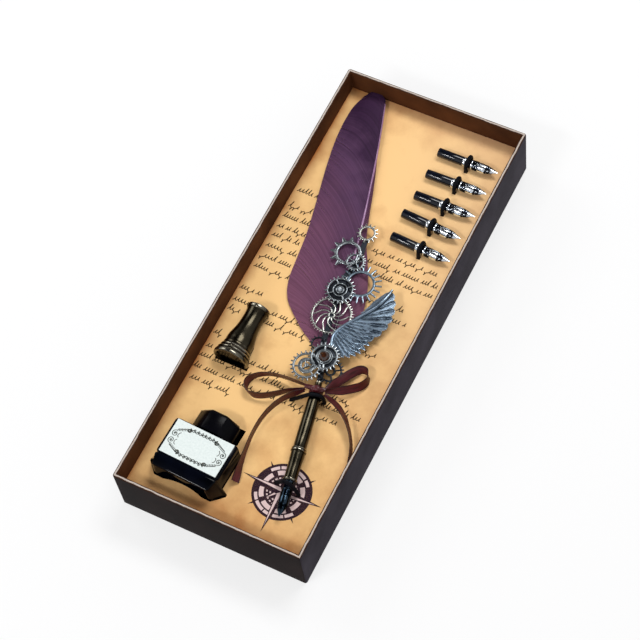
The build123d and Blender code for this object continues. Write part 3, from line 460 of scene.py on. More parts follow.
def barb_tree():
    """One side of a feather: hundreds of barbs between the shaft's line and the vane's edge."""
    tree, add, given = open_tree("barbs", [
        ("Shaft", "Object", None), ("Edge", "Object", None), ("Barbs", "Int", 300),
        ("Barb points", "Int", 14), ("Lag", "Float", 0.2), ("Bow", "Float", 5.0),
        ("Droop", "Float", 1.2), ("Fray", "Float", 0.006), ("Seed", "Int", 7)])
    columns = add("ShaderNodeMath", {0: given["Barbs"], 1: 2.0}, operation="MULTIPLY")
    grid = add("GeometryNodeMeshGrid", {
        "Size X": 1.0, "Size Y": 1.0, "Vertices X": columns, "Vertices Y": given["Barb points"]})
    spot = add("ShaderNodeSeparateXYZ", {0: add("GeometryNodeInputPosition")})
    # Grid columns in pairs are the two edges of one barb
    last = add("ShaderNodeMath", {0: columns, 1: 1.0}, operation="SUBTRACT")
    share = add("ShaderNodeMath", {0: spot.outputs[0], 1: 0.5})
    column = add("ShaderNodeMath", {0: share, 1: last}, operation="MULTIPLY")
    whole_column = add("ShaderNodeMath", {0: column}, operation="ROUND")
    half = add("ShaderNodeMath", {0: whole_column, 1: 0.5}, operation="MULTIPLY")
    barb = add("ShaderNodeMath", {0: half}, operation="FLOOR")
    side = add("ShaderNodeMath", {0: half, 1: barb}, operation="SUBTRACT")
    out = add("ShaderNodeMath", {0: spot.outputs[1], 1: 0.5})
    # A barb is 1.7 times as wide as its pitch, so neighbours overlap
    wide = add("ShaderNodeMath", {0: side, 1: 3.4, 2: -0.35}, operation="MULTIPLY_ADD")
    placed = add("ShaderNodeMath", {0: barb, 1: wide})
    edge_share = add("ShaderNodeMath", {0: placed, 1: given["Barbs"]}, operation="DIVIDE")
    # Half a sine wave from the first barb to the last, and one from a barb's root to its tip
    arch, swell = [add("ShaderNodeMath", {0: add(
        "ShaderNodeMath", {0: way, 1: math.pi}, operation="MULTIPLY")}, operation="SINE")
        for way in (edge_share, out)]
    lagged = add("ShaderNodeMath", {0: arch, 1: given["Lag"]}, operation="MULTIPLY")
    root_share = add("ShaderNodeMath", {0: edge_share, 1: lagged}, operation="SUBTRACT")
    shade = add("FunctionNodeRandomValue", {
        "ID": barb, "Seed": given["Seed"]}, data_type="FLOAT").outputs[1]
    frayed = add("ShaderNodeMath", {0: shade, 1: given["Fray"], 2: edge_share}, operation="MULTIPLY_ADD")
    spots = []
    for line, factor in (("Shaft", root_share), ("Edge", frayed)):
        curve = add("GeometryNodeObjectInfo", {0: given[line]}).outputs["Geometry"]
        sample = add("GeometryNodeSampleCurve", {0: curve, "Factor": factor}, use_all_curves=True)
        spots.append(sample.outputs["Position"])
    straight = add("ShaderNodeMix", {"Factor": out, 4: spots[0], 5: spots[1]}, data_type="VECTOR")
    bow = add("ShaderNodeMath", {0: swell, 1: given["Bow"]}, operation="MULTIPLY")
    out_squared = add("ShaderNodeMath", {0: out, 1: 2.0}, operation="POWER")
    droop = add("ShaderNodeMath", {0: out_squared, 1: given["Droop"]}, operation="MULTIPLY")
    rise = add("ShaderNodeMath", {0: swell, 1: 0.7}, operation="MULTIPLY")
    ripple = add("ShaderNodeMath", {0: shade, 1: 0.22}, operation="MULTIPLY")
    raised = add("ShaderNodeMath", {0: rise, 1: ripple})
    height = add("ShaderNodeMath", {0: raised, 1: droop}, operation="SUBTRACT")
    shift = add("ShaderNodeCombineXYZ", {1: bow, 2: height})
    final = add("ShaderNodeVectorMath", {0: straight.outputs[1], 1: shift})
    named = grid
    for label, value in (("along", edge_share), ("out", out), ("shade", shade)):
        named = add("GeometryNodeStoreNamedAttribute", {
            0: named, "Name": label, "Value": value}, data_type="FLOAT", domain="POINT")
    # Faces between two barbs go, so each barb stays a strand of its own
    face_column = add("ShaderNodeMath", {0: column}, operation="FLOOR")
    odd = add("ShaderNodeMath", {0: face_column, 1: 2.0}, operation="MODULO")
    gap = add("ShaderNodeMath", {0: odd, 1: 0.5}, operation="GREATER_THAN")
    strands = add("GeometryNodeDeleteGeometry", {0: named, "Selection": gap}, domain="FACE")
    close_tree(add, given, add("GeometryNodeSetPosition", {0: strands, "Position": final}))
    return tree


# Finishes: the sizes that they name are in metres

def covering_paper():
    """Printed covering paper glued over board: matt with a fibre grain, inner walls brown, side walls
    painted lighter for the light on them, rim worn and with a painted highlight.
    """
    end_face, inner_side, inner_end = 0.1545, 0.0600, 0.1533
    fold_start, fold_end, rubbed_inset, rubbed_wander = 0.0383, 0.0387, 0.0016, 0.0008
    material, add, shader = start_finish(
        "covering_paper_glued", {"Roughness": 0.62, "Specular IOR Level": 0.05})
    point = add("ShaderNodeTexCoord").outputs["Object"]
    # Grain 1 mm wide, scuffs 6 mm wide, clouds 30 mm wide
    grain, scuff, cloud = [
        add("ShaderNodeTexNoise", {"Vector": point, "Scale": scale, "Detail": detail})
        for scale, detail in ((1000.0, 3.0), (170.0, 4.0), (33.0, 2.0))]
    front, flank, inside = [
        add("ShaderNodeValToRGB", {0: cloud}, stops=[(0.3, dark), (0.7, pale)])
        for dark, pale in (("#120b0b", "#1e1413"), ("#231e26", "#37323b"), ("#402415", "#623b22"))]
    axes = add("ShaderNodeSeparateXYZ", {0: point})
    across, along = [
        add("ShaderNodeMath", {0: axes.outputs[i]}, operation="ABSOLUTE") for i in (0, 1)]
    # Painted light: the side walls are given a lighter, bluer colour than the two ends, for the light that
    # falls on them
    end_wall = add("ShaderNodeMapRange", {0: along, 1: end_face, 2: end_face + 0.0002})
    outside = add("ShaderNodeMix", {0: end_wall, 6: flank, 7: front}, data_type="RGBA")
    in_x = add("ShaderNodeMath", {0: across, 1: inner_side}, operation="LESS_THAN")
    in_y = add("ShaderNodeMath", {0: along, 1: inner_end}, operation="LESS_THAN")
    within = add("ShaderNodeMath", {0: in_x, 1: in_y}, operation="MULTIPLY")
    body = add("ShaderNodeMix", {0: within, 6: outside.outputs[2], 7: inside}, data_type="RGBA")
    # The fold at the rim is dark, with a pale line 0.8 mm wide along its top: partly paper rubbed pale,
    # partly a painted highlight
    top = add("ShaderNodeMapRange", {0: axes.outputs[2], 1: fold_start, 2: fold_end})
    fold = add("ShaderNodeMix", {0: top, 6: body.outputs[2], 7: colour("#3c2519")}, data_type="RGBA")
    inset_x = add("ShaderNodeMath", {0: TRAY_HALF_WIDTH * MM, 1: across}, operation="SUBTRACT")
    inset_y = add("ShaderNodeMath", {0: TRAY_HALF_LENGTH * MM, 1: along}, operation="SUBTRACT")
    inset = add("ShaderNodeMath", {0: inset_x, 1: inset_y}, operation="MINIMUM")
    wander = add("ShaderNodeMath", {0: scuff, 1: rubbed_wander, 2: inset}, operation="MULTIPLY_ADD")
    from_middle = add("ShaderNodeMath", {0: wander, 1: rubbed_inset}, operation="SUBTRACT")
    from_line = add("ShaderNodeMath", {0: from_middle}, operation="ABSOLUTE")
    line = add("ShaderNodeMapRange", {0: from_line, 1: 0.0003, 2: 0.0006, 3: 0.75, 4: 0.0})
    rubbed = add("ShaderNodeMath", {0: top, 1: line}, operation="MULTIPLY")
    paint = add("ShaderNodeMix", {
        0: rubbed, 6: fold.outputs[2], 7: colour("#d8cbc0")}, data_type="RGBA")
    fibre = add("ShaderNodeBump", {"Strength": 0.6, "Distance": 0.06 * MM, "Height": grain})
    feed(shader, {"Base Color": paint.outputs[2], "Normal": fibre})
    return material


def printed_card():
    """Offset printed card, satin lacquered: sepia clouds, darker and redder towards the edges."""
    half_width, half_length = 0.059, 0.152
    material, add, shader = start_finish(
        "printed_card_satin", {"Roughness": 0.6, "Specular IOR Level": 0.08})
    point = add("ShaderNodeTexCoord").outputs["Object"]
    axes = add("ShaderNodeSeparateXYZ", {0: point})
    across, along = [
        add("ShaderNodeMath", {0: axes.outputs[i], 1: 1 / half}, operation="MULTIPLY")
        for i, half in enumerate((half_width, half_length))]
    near_side, near_end = [
        add("ShaderNodeMath", {
            0: add("ShaderNodeMath", {0: way}, operation="ABSOLUTE"), 1: power}, operation="POWER")
        for way, power in ((across, 22.0), (along, 16.0))]
    edge = add("ShaderNodeMath", {0: near_side, 1: near_end}, operation="MAXIMUM")
    low_end = add("ShaderNodeMapRange", {0: along, 1: 0.3, 2: -1.0, 3: 0.0, 4: 0.05})
    tone = add("ShaderNodeMath", {0: edge, 1: 0.42, 2: low_end}, operation="MULTIPLY_ADD")
    # Clouds 40 mm wide, stains 10 mm wide and paper specks 1.5 mm wide
    for scale, detail, roughness, share in (
            (24.0, 4.0, 0.55, 0.66), (95.0, 3.0, 0.5, 0.2), (700.0, 2.0, 0.5, 0.08)):
        noise = add("ShaderNodeTexNoise", {
            "Vector": point, "Scale": scale, "Detail": detail, "Roughness": roughness})
        tone = add("ShaderNodeMath", {0: noise, 1: share, 2: tone}, operation="MULTIPLY_ADD")
    dyes = bpy.context.scene.gift_box_colours
    tint = add("ShaderNodeValToRGB", {0: tone}, stops=[(0.46, dyes.card), (1.15, dyes.card_edge)])
    # The upper right is pinker than the rest
    corner = add("ShaderNodeMath", {0: across, 1: along})
    pink = add("ShaderNodeMapRange", {0: corner, 1: 0.1, 2: 1.5, 3: 0.0, 4: 0.4})
    warm = add("ShaderNodeMix", {0: pink, 6: tint, 7: colour("#f2cda2")}, data_type="RGBA")
    feed(shader, {"Base Color": warm.outputs[2]})
    return material


def mottled(name, sockets, scale, detail, stops, strength, distance):
    """A smooth or matt material with one noise that mottles its colour and swells its surface."""
    material, add, shader = start_finish(name, sockets)
    point = add("ShaderNodeTexCoord").outputs["Object"]
    mottle = add("ShaderNodeTexNoise", {"Vector": point, "Scale": scale, "Detail": detail})
    tint = add("ShaderNodeValToRGB", {0: mottle}, stops=stops)
    lumps = add("ShaderNodeBump", {"Strength": strength, "Distance": distance, "Height": mottle})
    feed(shader, {"Base Color": tint, "Normal": lumps})
    return material


def matt_finish(name, dark, pale, size_mm, roughness):
    """Board, foam or coated paper: matt, with a mottle of a given size."""
    return mottled(
        name, {"Roughness": roughness, "Specular IOR Level": 0.25}, 1 / (size_mm * MM), 3.0,
        [(0.3, dark), (0.7, pale)], 0.5, 0.1 * size_mm * MM)


def bottle_glass():
    """Moulded glass full of black ink: near black with a blue body, glossy, with ripples 12 mm wide."""
    return mottled(
        "moulded_glass_inked", {"Roughness": 0.06, "Specular IOR Level": 0.08}, 80.0, 1.0,
        [(0.35, "#020306"), (0.75, "#080b16")], 0.35, 0.4 * MM)


def moulded_cap():
    """Pressed phenolic cap: black, polished faces with faint flow marks."""
    return mottled(
        "phenolic_cap_pressed", {"Roughness": 0.25, "Specular IOR Level": 0.07}, 150.0, 2.0,
        [(0.35, "#020204"), (0.7, "#07070c")], 0.2, 0.2 * MM)


def lacquered_shank():
    """Blue black lacquer over brass: deep gloss with a faint orange peel."""
    return mottled(
        "blue_black_lacquer", {"Roughness": 0.1}, 900.0, 1.0,
        [(0.3, "#04060c"), (0.7, "#0a0f1e")], 0.15, 0.02 * MM)


def printed_ink(name, text):
    """Printing ink on card: flat, a little uneven where the paper shows through."""
    material, add, shader = start_finish(name, {"Roughness": 0.6, "Specular IOR Level": 0.05})
    point = add("ShaderNodeTexCoord").outputs["Object"]
    # Paper tooth 0.5 mm wide
    tooth = add("ShaderNodeTexNoise", {"Vector": point, "Scale": 2000.0, "Detail": 2.0})
    thin = add("ShaderNodeMapRange", {0: tooth, 1: 0.5, 2: 0.8, 3: 0.0, 4: 0.25})
    paint = add("ShaderNodeMix", {0: thin, 6: colour(text), 7: colour("#c9a070")}, data_type="RGBA")
    feed(shader, {"Base Color": paint.outputs[2]})
    return material


def braided_elastic():
    """Braided covered elastic, black: matt yarns that cross every 0.8 mm round the cord."""
    material, add, shader = start_finish(
        "braided_elastic_black", {"Roughness": 0.6, "Specular IOR Level": 0.08})
    axes = add("ShaderNodeSeparateXYZ", {0: add("ShaderNodeUVMap", uv_map="run")})
    yarns = []
    for turns in (4.0, -4.0):
        turn = add("ShaderNodeMath", {0: axes.outputs[1], 1: turns * TURN}, operation="MULTIPLY")
        angle = add("ShaderNodeMath", {0: axes, 1: TURN / 0.8, 2: turn}, operation="MULTIPLY_ADD")
        yarns.append(add("ShaderNodeMath", {0: angle}, operation="SINE"))
    braid = add("ShaderNodeMath", {0: yarns[0], 1: yarns[1]}, operation="MAXIMUM")
    tint = add("ShaderNodeValToRGB", {0: braid}, stops=[(0.0, "#050609"), (1.0, "#12141c")])
    weave = add("ShaderNodeBump", {"Strength": 0.8, "Distance": 0.12 * MM, "Height": braid})
    feed(shader, {"Base Color": tint, "Normal": weave})
    return material


def cast_metal(name, deep, body, bright, roughness, barbs=0.0):
    """Cast zinc, plated and then darkened: black in the hollows, rubbed bright on the high parts."""
    material, add, shader = start_finish(name, {"Metallic": 1.0})
    point = add("ShaderNodeTexCoord").outputs["Object"]
    # Casting skin 0.7 mm wide and patina clouds 5 mm wide
    skin, cloud = [
        add("ShaderNodeTexNoise", {"Vector": point, "Scale": scale, "Detail": 3.0})
        for scale in (1400.0, 200.0)]
    edges = add("ShaderNodeMapRange", {
        0: add("ShaderNodeNewGeometry").outputs["Pointiness"], 1: 0.46, 2: 0.56, 3: 0.0, 4: 0.75})
    patchy = add("ShaderNodeMath", {0: cloud, 1: 0.5, 2: edges}, operation="MULTIPLY_ADD")
    worn = add("ShaderNodeMath", {0: skin, 1: 0.3, 2: patchy}, operation="MULTIPLY_ADD")
    tint = add("ShaderNodeValToRGB", {0: worn}, stops=[(0.35, deep), (0.68, body), (1.1, bright)])
    rough = add("ShaderNodeMapRange", {0: worn, 1: 0.3, 2: 1.1, 3: roughness + 0.2, 4: roughness})
    relief, depth = skin, 0.06
    if barbs:
        # Barbs of the cast feathers slant back from their shafts, about 19 along each
        axes = add("ShaderNodeSeparateXYZ", {0: add("ShaderNodeUVMap", uv_map="plume")})
        aside = add("ShaderNodeMath", {0: axes}, operation="ABSOLUTE")
        slant = add("ShaderNodeMath", {0: aside, 1: 34.0}, operation="MULTIPLY")
        phase = add("ShaderNodeMath", {0: axes.outputs[1], 1: 120.0, 2: slant}, operation="MULTIPLY_ADD")
        line = add("ShaderNodeMath", {0: phase}, operation="SINE")
        relief = add("ShaderNodeMath", {0: line, 1: barbs, 2: skin}, operation="MULTIPLY_ADD")
        depth = 0.14
    pits = add("ShaderNodeBump", {"Strength": 0.5, "Distance": depth * MM, "Height": relief})
    feed(shader, {"Base Color": tint, "Roughness": rough, "Normal": pits})
    return material


def turned_brass():
    """Turned brass with an antique bronze dip: dark olive body, bright rubbed lips."""
    material, add, shader = start_finish("turned_brass_antiqued", {"Metallic": 1.0})
    point = add("ShaderNodeTexCoord").outputs["Object"]
    cloud, skin = [
        add("ShaderNodeTexNoise", {"Vector": point, "Scale": scale, "Detail": detail})
        for scale, detail in ((130.0, 4.0), (1600.0, 2.0))]
    edges = add("ShaderNodeMapRange", {
        0: add("ShaderNodeNewGeometry").outputs["Pointiness"], 1: 0.51, 2: 0.6, 3: 0.0, 4: 0.7})
    worn = add("ShaderNodeMath", {0: cloud, 1: 0.55, 2: edges}, operation="MULTIPLY_ADD")
    tint = add("ShaderNodeValToRGB", {0: worn}, stops=[
        (0.12, "#1d1a13"), (0.42, "#454034"), (0.95, "#d8d2bf")])
    rough = add("ShaderNodeMapRange", {0: cloud, 1: 0.3, 2: 0.7, 3: 0.17, 4: 0.25})
    pits = add("ShaderNodeBump", {"Strength": 0.06, "Distance": 0.03 * MM, "Height": skin})
    feed(shader, {"Base Color": tint, "Roughness": rough, "Normal": pits})
    return material


def engraved_steel(name, body, dark):
    """Pressed nib steel, plated: mirror bright with a dark engraved pattern on its middle."""
    material, add, shader = start_finish(name, {"Metallic": 1.0, "Roughness": 0.14})
    sheet = add("ShaderNodeUVMap", uv_map="sheet")
    axes = add("ShaderNodeSeparateXYZ", {0: sheet})
    # Engraved scrolls about 1.3 mm wide, in two zones: millimetres from the sheet's rear
    scrolls = add("ShaderNodeTexVoronoi", {"Vector": sheet, "Scale": 0.75, "Randomness": 0.8})
    cut = add("ShaderNodeMapRange", {0: scrolls, 1: 0.3, 2: 0.45})
    zones = []
    for start, end in ((-1.0, 4.2), (8.6, 12.4)):
        low = add("ShaderNodeMapRange", {0: axes, 1: start - 0.3, 2: start + 0.3})
        high = add("ShaderNodeMapRange", {0: axes, 1: end + 0.4, 2: end - 0.4})
        zones.append(add("ShaderNodeMath", {0: low, 1: high}, operation="MULTIPLY"))
    zone = add("ShaderNodeMath", {0: zones[0], 1: zones[1]}, operation="MAXIMUM")
    engraved = add("ShaderNodeMath", {0: cut, 1: zone}, operation="MULTIPLY")
    paint = add("ShaderNodeMix", {0: engraved, 6: colour(body), 7: colour(dark)}, data_type="RGBA")
    grooves = add("ShaderNodeBump", {"Strength": 0.6, "Distance": -0.08 * MM, "Height": engraved})
    feed(shader, {"Base Color": paint.outputs[2], "Normal": grooves})
    return material


def cut_glass(name, pale, deep):
    """Pressed glass stone: clear body over its foil, sharp reflections on every facet."""
    material, add, shader = start_finish(
        name, {"Roughness": 0.03, "IOR": 1.6, "Coat Weight": 1.0, "Coat Roughness": 0.02})
    point = add("ShaderNodeTexCoord").outputs["Object"]
    depth = add("ShaderNodeTexVoronoi", {"Vector": point, "Scale": 900.0})
    tint = add("ShaderNodeValToRGB", {0: depth}, stops=[(0.1, pale), (0.8, deep)])
    feed(shader, {"Base Color": tint})
    return material


def dyed_feather():
    """Dyed goose feather: fine silky barbs, plum at the tip and mauve low down."""
    material, add, shader = start_finish(
        "goose_feather_dyed", {"Roughness": 0.5, "Specular IOR Level": 0.08})
    along, out, shade = [
        add("ShaderNodeAttribute", attribute_name=name).outputs["Fac"] for name in ("along", "out", "shade")]
    point = add("ShaderNodeTexCoord").outputs["Object"]
    patch = add("ShaderNodeTexNoise", {"Vector": point, "Scale": 70.0, "Detail": 3.0})
    drift = add("ShaderNodeMath", {0: patch, 1: 0.3, 2: along}, operation="MULTIPLY_ADD")
    # Barbs nearer the edge start lower on the shaft, so they take their colour from lower down
    lowered = add("ShaderNodeMath", {0: out, 1: -0.12, 2: drift}, operation="MULTIPLY_ADD")
    dyes = bpy.context.scene.gift_box_colours
    tint = add("ShaderNodeValToRGB", {0: lowered}, stops=[
        (0.25, dyes.feather_low), (0.86, dyes.feather_middle), (1.0, dyes.feather_tip)])
    dark = add("ShaderNodeMapRange", {0: shade, 3: 0.82, 4: 1.16})
    toned = add("ShaderNodeVectorMath", {0: tint, "Scale": dark}, operation="SCALE")
    feed(shader, {"Base Color": toned})
    return material


def dyed_quill():
    """The feather's shaft: smooth horn, dyed lilac, glossy along its back."""
    material, add, shader = start_finish("feather_quill_dyed", {"Roughness": 0.28})
    point = add("ShaderNodeTexCoord").outputs["Object"]
    streak = add("ShaderNodeTexNoise", {"Vector": point, "Scale": 150.0, "Detail": 2.0})
    tint = add("ShaderNodeValToRGB", {0: streak}, stops=[(0.3, "#855a85"), (0.7, "#b188ac")])
    # Darker towards the low end
    along = add("ShaderNodeSeparateXYZ", {0: point}).outputs[1]
    deep = add("ShaderNodeMapRange", {0: along, 1: 0.012, 2: 0.034, 3: 1.0, 4: 0.0})
    paint = add("ShaderNodeMix", {0: deep, 6: tint, 7: colour("#3a1c36")}, data_type="RGBA")
    feed(shader, {"Base Color": paint.outputs[2]})
    return material


def satin_ribbon():
    """Woven polyester satin, wine brown: long floats give a soft sheen along the ribbon; painted shade
    darkens its folds.
    """
    material, add, shader = start_finish(
        "polyester_satin_woven", {"Roughness": 0.36, "Anisotropic": 0.5, "Specular IOR Level": 0.4})
    band = add("ShaderNodeUVMap", uv_map="band")
    height = add("ShaderNodeSeparateXYZ", {0: band}).outputs[1]
    # Floats 0.35 mm apart, drawn coarser than the real 0.1 mm so that they show
    rows = add("ShaderNodeMath", {0: height, 1: TURN / 0.35}, operation="MULTIPLY")
    float_line = add("ShaderNodeMath", {0: rows}, operation="SINE")
    # Both edges have a denser selvedge 0.5 mm wide
    offset = add("ShaderNodeMath", {0: height, 1: 2.8}, operation="SUBTRACT")
    from_middle = add("ShaderNodeMath", {0: offset}, operation="ABSOLUTE")
    selvedge = add("ShaderNodeMapRange", {0: from_middle, 1: 2.2, 2: 2.4})
    stretch = add("ShaderNodeMapping", {0: band, "Scale": (0.12, 1.2, 1.0)})
    crease = add("ShaderNodeTexNoise", {"Vector": stretch, "Scale": 1.0, "Detail": 3.0})
    # Painted shade: the crease noise darkens the dye to about half in places, for the shade in the ribbon's
    # folds
    tint = add("ShaderNodeValToRGB", {0: crease}, stops=[(0.3, "#8a8a8a"), (0.72, "#ffffff")])
    dye = bpy.context.scene.gift_box_colours.ribbon
    body = add("ShaderNodeMix", {0: 1.0, 6: tint, 7: dye}, data_type="RGBA", blend_type="MULTIPLY")
    paint = add("ShaderNodeMix", {
        0: selvedge, 6: body.outputs[2], 7: colour("#2c1014")}, data_type="RGBA")
    relief = add("ShaderNodeMath", {0: float_line, 1: 0.25, 2: crease}, operation="MULTIPLY_ADD")
    folds = add("ShaderNodeBump", {"Strength": 0.5, "Distance": 0.15 * MM, "Height": relief})
    feed(shader, {"Base Color": paint.outputs[2], "Normal": folds})
    return material


# Each finish's function and what it is given
FINISHES = {
    "covering_paper": (covering_paper,),
    "printed_card": (printed_card,),
    "grey_board": (matt_finish, "grey_board_pressed", "#7d776d", "#948d82", 0.8, 0.9),
    "black_foam": (matt_finish, "foam_cut_black", "#0d0c0c", "#1c1a19", 0.6, 0.95),
    "label_paper": (matt_finish, "label_paper_coated", "#dae4e1", "#e7efec", 1.2, 0.6),
    "cap_liner": (matt_finish, "liner_board_waxed", "#c9c6be", "#e0ddd5", 1.0, 0.6),
    "script_ink": (printed_ink, "script_ink_sepia", "#2e2014"),
    "plum_ink": (printed_ink, "compass_ink_plum", "#2a1828"),
    "rose_ink": (printed_ink, "compass_ink_rose", "#e2c8c6"),
    "grey_ink": (printed_ink, "label_ink_grey", "#3a4341"),
    "braided_elastic": (braided_elastic,),
    "bottle_glass": (bottle_glass,),
    "moulded_cap": (moulded_cap,),
    "turned_brass": (turned_brass,),
    "silver_casting": (cast_metal, "zinc_casting_antique_silver", "#08090c", "#24282d", "#969da1", 0.26),
    "pale_casting": (cast_metal, "zinc_casting_rubbed_silver", "#0e1013", "#45484a", "#b9bbb5", 0.26),
    "blue_casting": (cast_metal, "zinc_casting_blue_silver", "#080c12", "#202934", "#7f8f9c", 0.28),
    "cast_wing": (cast_metal, "zinc_casting_wing", "#03060a", "#101a27", "#8fa2b4", 0.28, 0.8),
    # Painted shade: the darkest casting, on the lower gears, the gear spine and the discs behind the stones,
    # stands for the shade under the upper gears
    "dark_casting": (cast_metal, "zinc_casting_unrubbed", "#020203", "#0b0d0f", "#30343a", 0.38),
    "clear_stone": (cut_glass, "glass_stone_clear", "#f4f7f9", "#9fb0bb"),
    "amber_stone": (cut_glass, "glass_stone_amber", "#4a2410", "#140803"),
    "dyed_feather": (dyed_feather,),
    "dyed_quill": (dyed_quill,),
    "satin_ribbon": (satin_ribbon,),
    "lacquered_shank": (lacquered_shank,),
    "bright_nib": (engraved_steel, "nib_steel_bright", "#e3eaf0", "#10141d"),
    "blued_nib": (engraved_steel, "nib_steel_blued", "#33424f", "#0a1018"),
}
made_finishes = {}


def finish(name):
    """The material of that name in this script, made at its first use."""
    if name not in made_finishes:
        make, *given = FINISHES[name]
        made_finishes[name] = make(*given)
    return made_finishes[name]


# Tray

TRAY_HALF_WIDTH = 61.75
TRAY_HALF_LENGTH = 155.0
TRAY_CORNER = 1.5
# Covering paper's section: inset from the outside and height, over the rim and back under itself
PAPER_SECTION = [
    (0.0, 0.4), (0.0, 37.9), (0.1, 38.45), (0.4, 38.85), (0.9, 39.0), (1.5, 39.0), (2.0, 38.85),
    (2.3, 38.45), (2.4, 37.9), (2.4, 2.1), (2.05, 2.1), (2.05, 38.0), (1.2, 38.55), (0.35, 38.0),
    (0.35, 0.4),
]


def tray_loop(inset, height):
    """Points round the tray at an inset from its outside."""
    corners = rounded_corners(
        TRAY_HALF_WIDTH - inset, TRAY_HALF_LENGTH - inset, max(TRAY_CORNER - inset, 0.2), 5)
    return [Vector((x, y, height)) for corner in corners for x, y in corner]


# Pen

MOUTH_BORE = 3.07
# Pen body's outline, (radius, station): bore, mouth ring, waisted grip, two beads, barrel and neck
PEN_OUTLINE = [
    (MOUTH_BORE, 18.4), (MOUTH_BORE, 0.0), (4.05, 0.0), (4.4, 0.2), (4.55, 0.7), (4.5, 1.2),
    (4.15, 1.6), (3.95, 1.75), (3.98, 2.1), (3.92, 6.0), (3.94, 10.0), (4.08, 14.0), (4.3, 18.0),
    (4.33, 18.7), (4.12, 18.95), (4.5, 19.1), (4.78, 19.35), (4.84, 19.75), (4.78, 20.15),
    (4.35, 20.35), (4.08, 20.5), (4.4, 20.7), (4.58, 21.0), (4.5, 21.4), (4.05, 21.6), (3.97, 21.8),
    (3.96, 30.0), (3.86, 41.0), (3.7, 52.0), (3.65, 60.4), (3.58, 61.4), (3.3, 62.2), (2.8, 62.8),
    (2.3, 63.0), (2.18, 63.4), (2.12, 64.6), (2.2, 65.9),
]
# Stand's outline, (radius, station): three stepped beads, waist, lip and bore
STAND_OUTLINE = [
    (8.6, 1.4), (9.6, 0.2), (10.9, 0.0), (11.35, 0.25), (11.55, 0.9), (11.5, 2.0), (11.2, 2.6),
    (10.65, 2.8), (10.5, 3.1), (10.72, 3.5), (10.75, 4.4), (10.4, 5.0), (9.85, 5.2), (9.7, 5.5),
    (9.92, 5.9), (9.95, 6.8), (9.6, 7.4), (9.1, 7.6), (8.95, 7.9), (9.12, 8.3), (9.15, 9.3),
    (8.95, 10.0), (8.85, 10.4), (8.85, 12.5), (8.6, 15.0), (7.9, 18.0), (7.2, 21.0), (6.7, 24.5),
    (6.45, 28.0), (6.4, 31.0), (6.55, 33.8), (6.8, 35.4), (7.2, 35.7), (7.45, 36.1), (7.5, 37.3),
    (7.3, 38.1), (6.8, 38.38), (5.5, 38.38), (5.15, 38.0), (5.1, 37.5), (5.1, 8.4),
]


def pen_point(across, along):
    """Plan point of a spot on the pen."""
    return (
        PEN_MOUTH[0] + across * math.cos(PEN_TURN) - along * math.sin(PEN_TURN),
        PEN_MOUTH[1] + across * math.sin(PEN_TURN) + along * math.cos(PEN_TURN),
    )


# Feather: stations, the shaft's height and bend, and plan points of its two edges, (across, share
# of the way from start to tip)
VANE_START = 82.0
FEATHER_END = 270.0
SHAFT_START = 65.9
SHAFT_END = 266.0
SHAFT_HEIGHT = -1.9
BEND_START = 60.0
BEND_AT_END = -10.64768
BEND_POWER = 2.6
VANE_LEFT = [
    (-3.0, 0.000), (-11.3, 0.049), (-19.9, 0.091), (-28.1, 0.143), (-34.3, 0.194), (-36.7, 0.262),
    (-35.2, 0.351), (-33.2, 0.447), (-32.0, 0.585), (-30.4, 0.723), (-27.2, 0.840), (-21.5, 0.940),
    (-14.6, 1.000),
]
VANE_RIGHT = [
    (2.0, 0.011), (9.0, 0.096), (13.2, 0.181), (12.8, 0.271), (9.2, 0.362), (4.6, 0.452),
    (2.8, 0.548), (1.8, 0.654), (0.4, 0.755), (-2.6, 0.854), (-7.2, 0.947), (-11.6, 0.997),
]


def feather_line(points):
    """Edge or shaft points, (across, station, height), moved with the shaft's sideways bend."""
    line = []
    for x, y, z in points:
        share = max(y - BEND_START, 0.0) / (SHAFT_END - BEND_START)
        line.append(Vector((x + BEND_AT_END * share ** BEND_POWER, y, z)))
    return line


def vane_edge(shares):
    """Edge of one side of the feather, a little below its shaft."""
    length = FEATHER_END - VANE_START
    points = [(x, VANE_START + length * share, SHAFT_HEIGHT - 0.5) for x, share in shares]
    return eased(feather_line(points), 8)


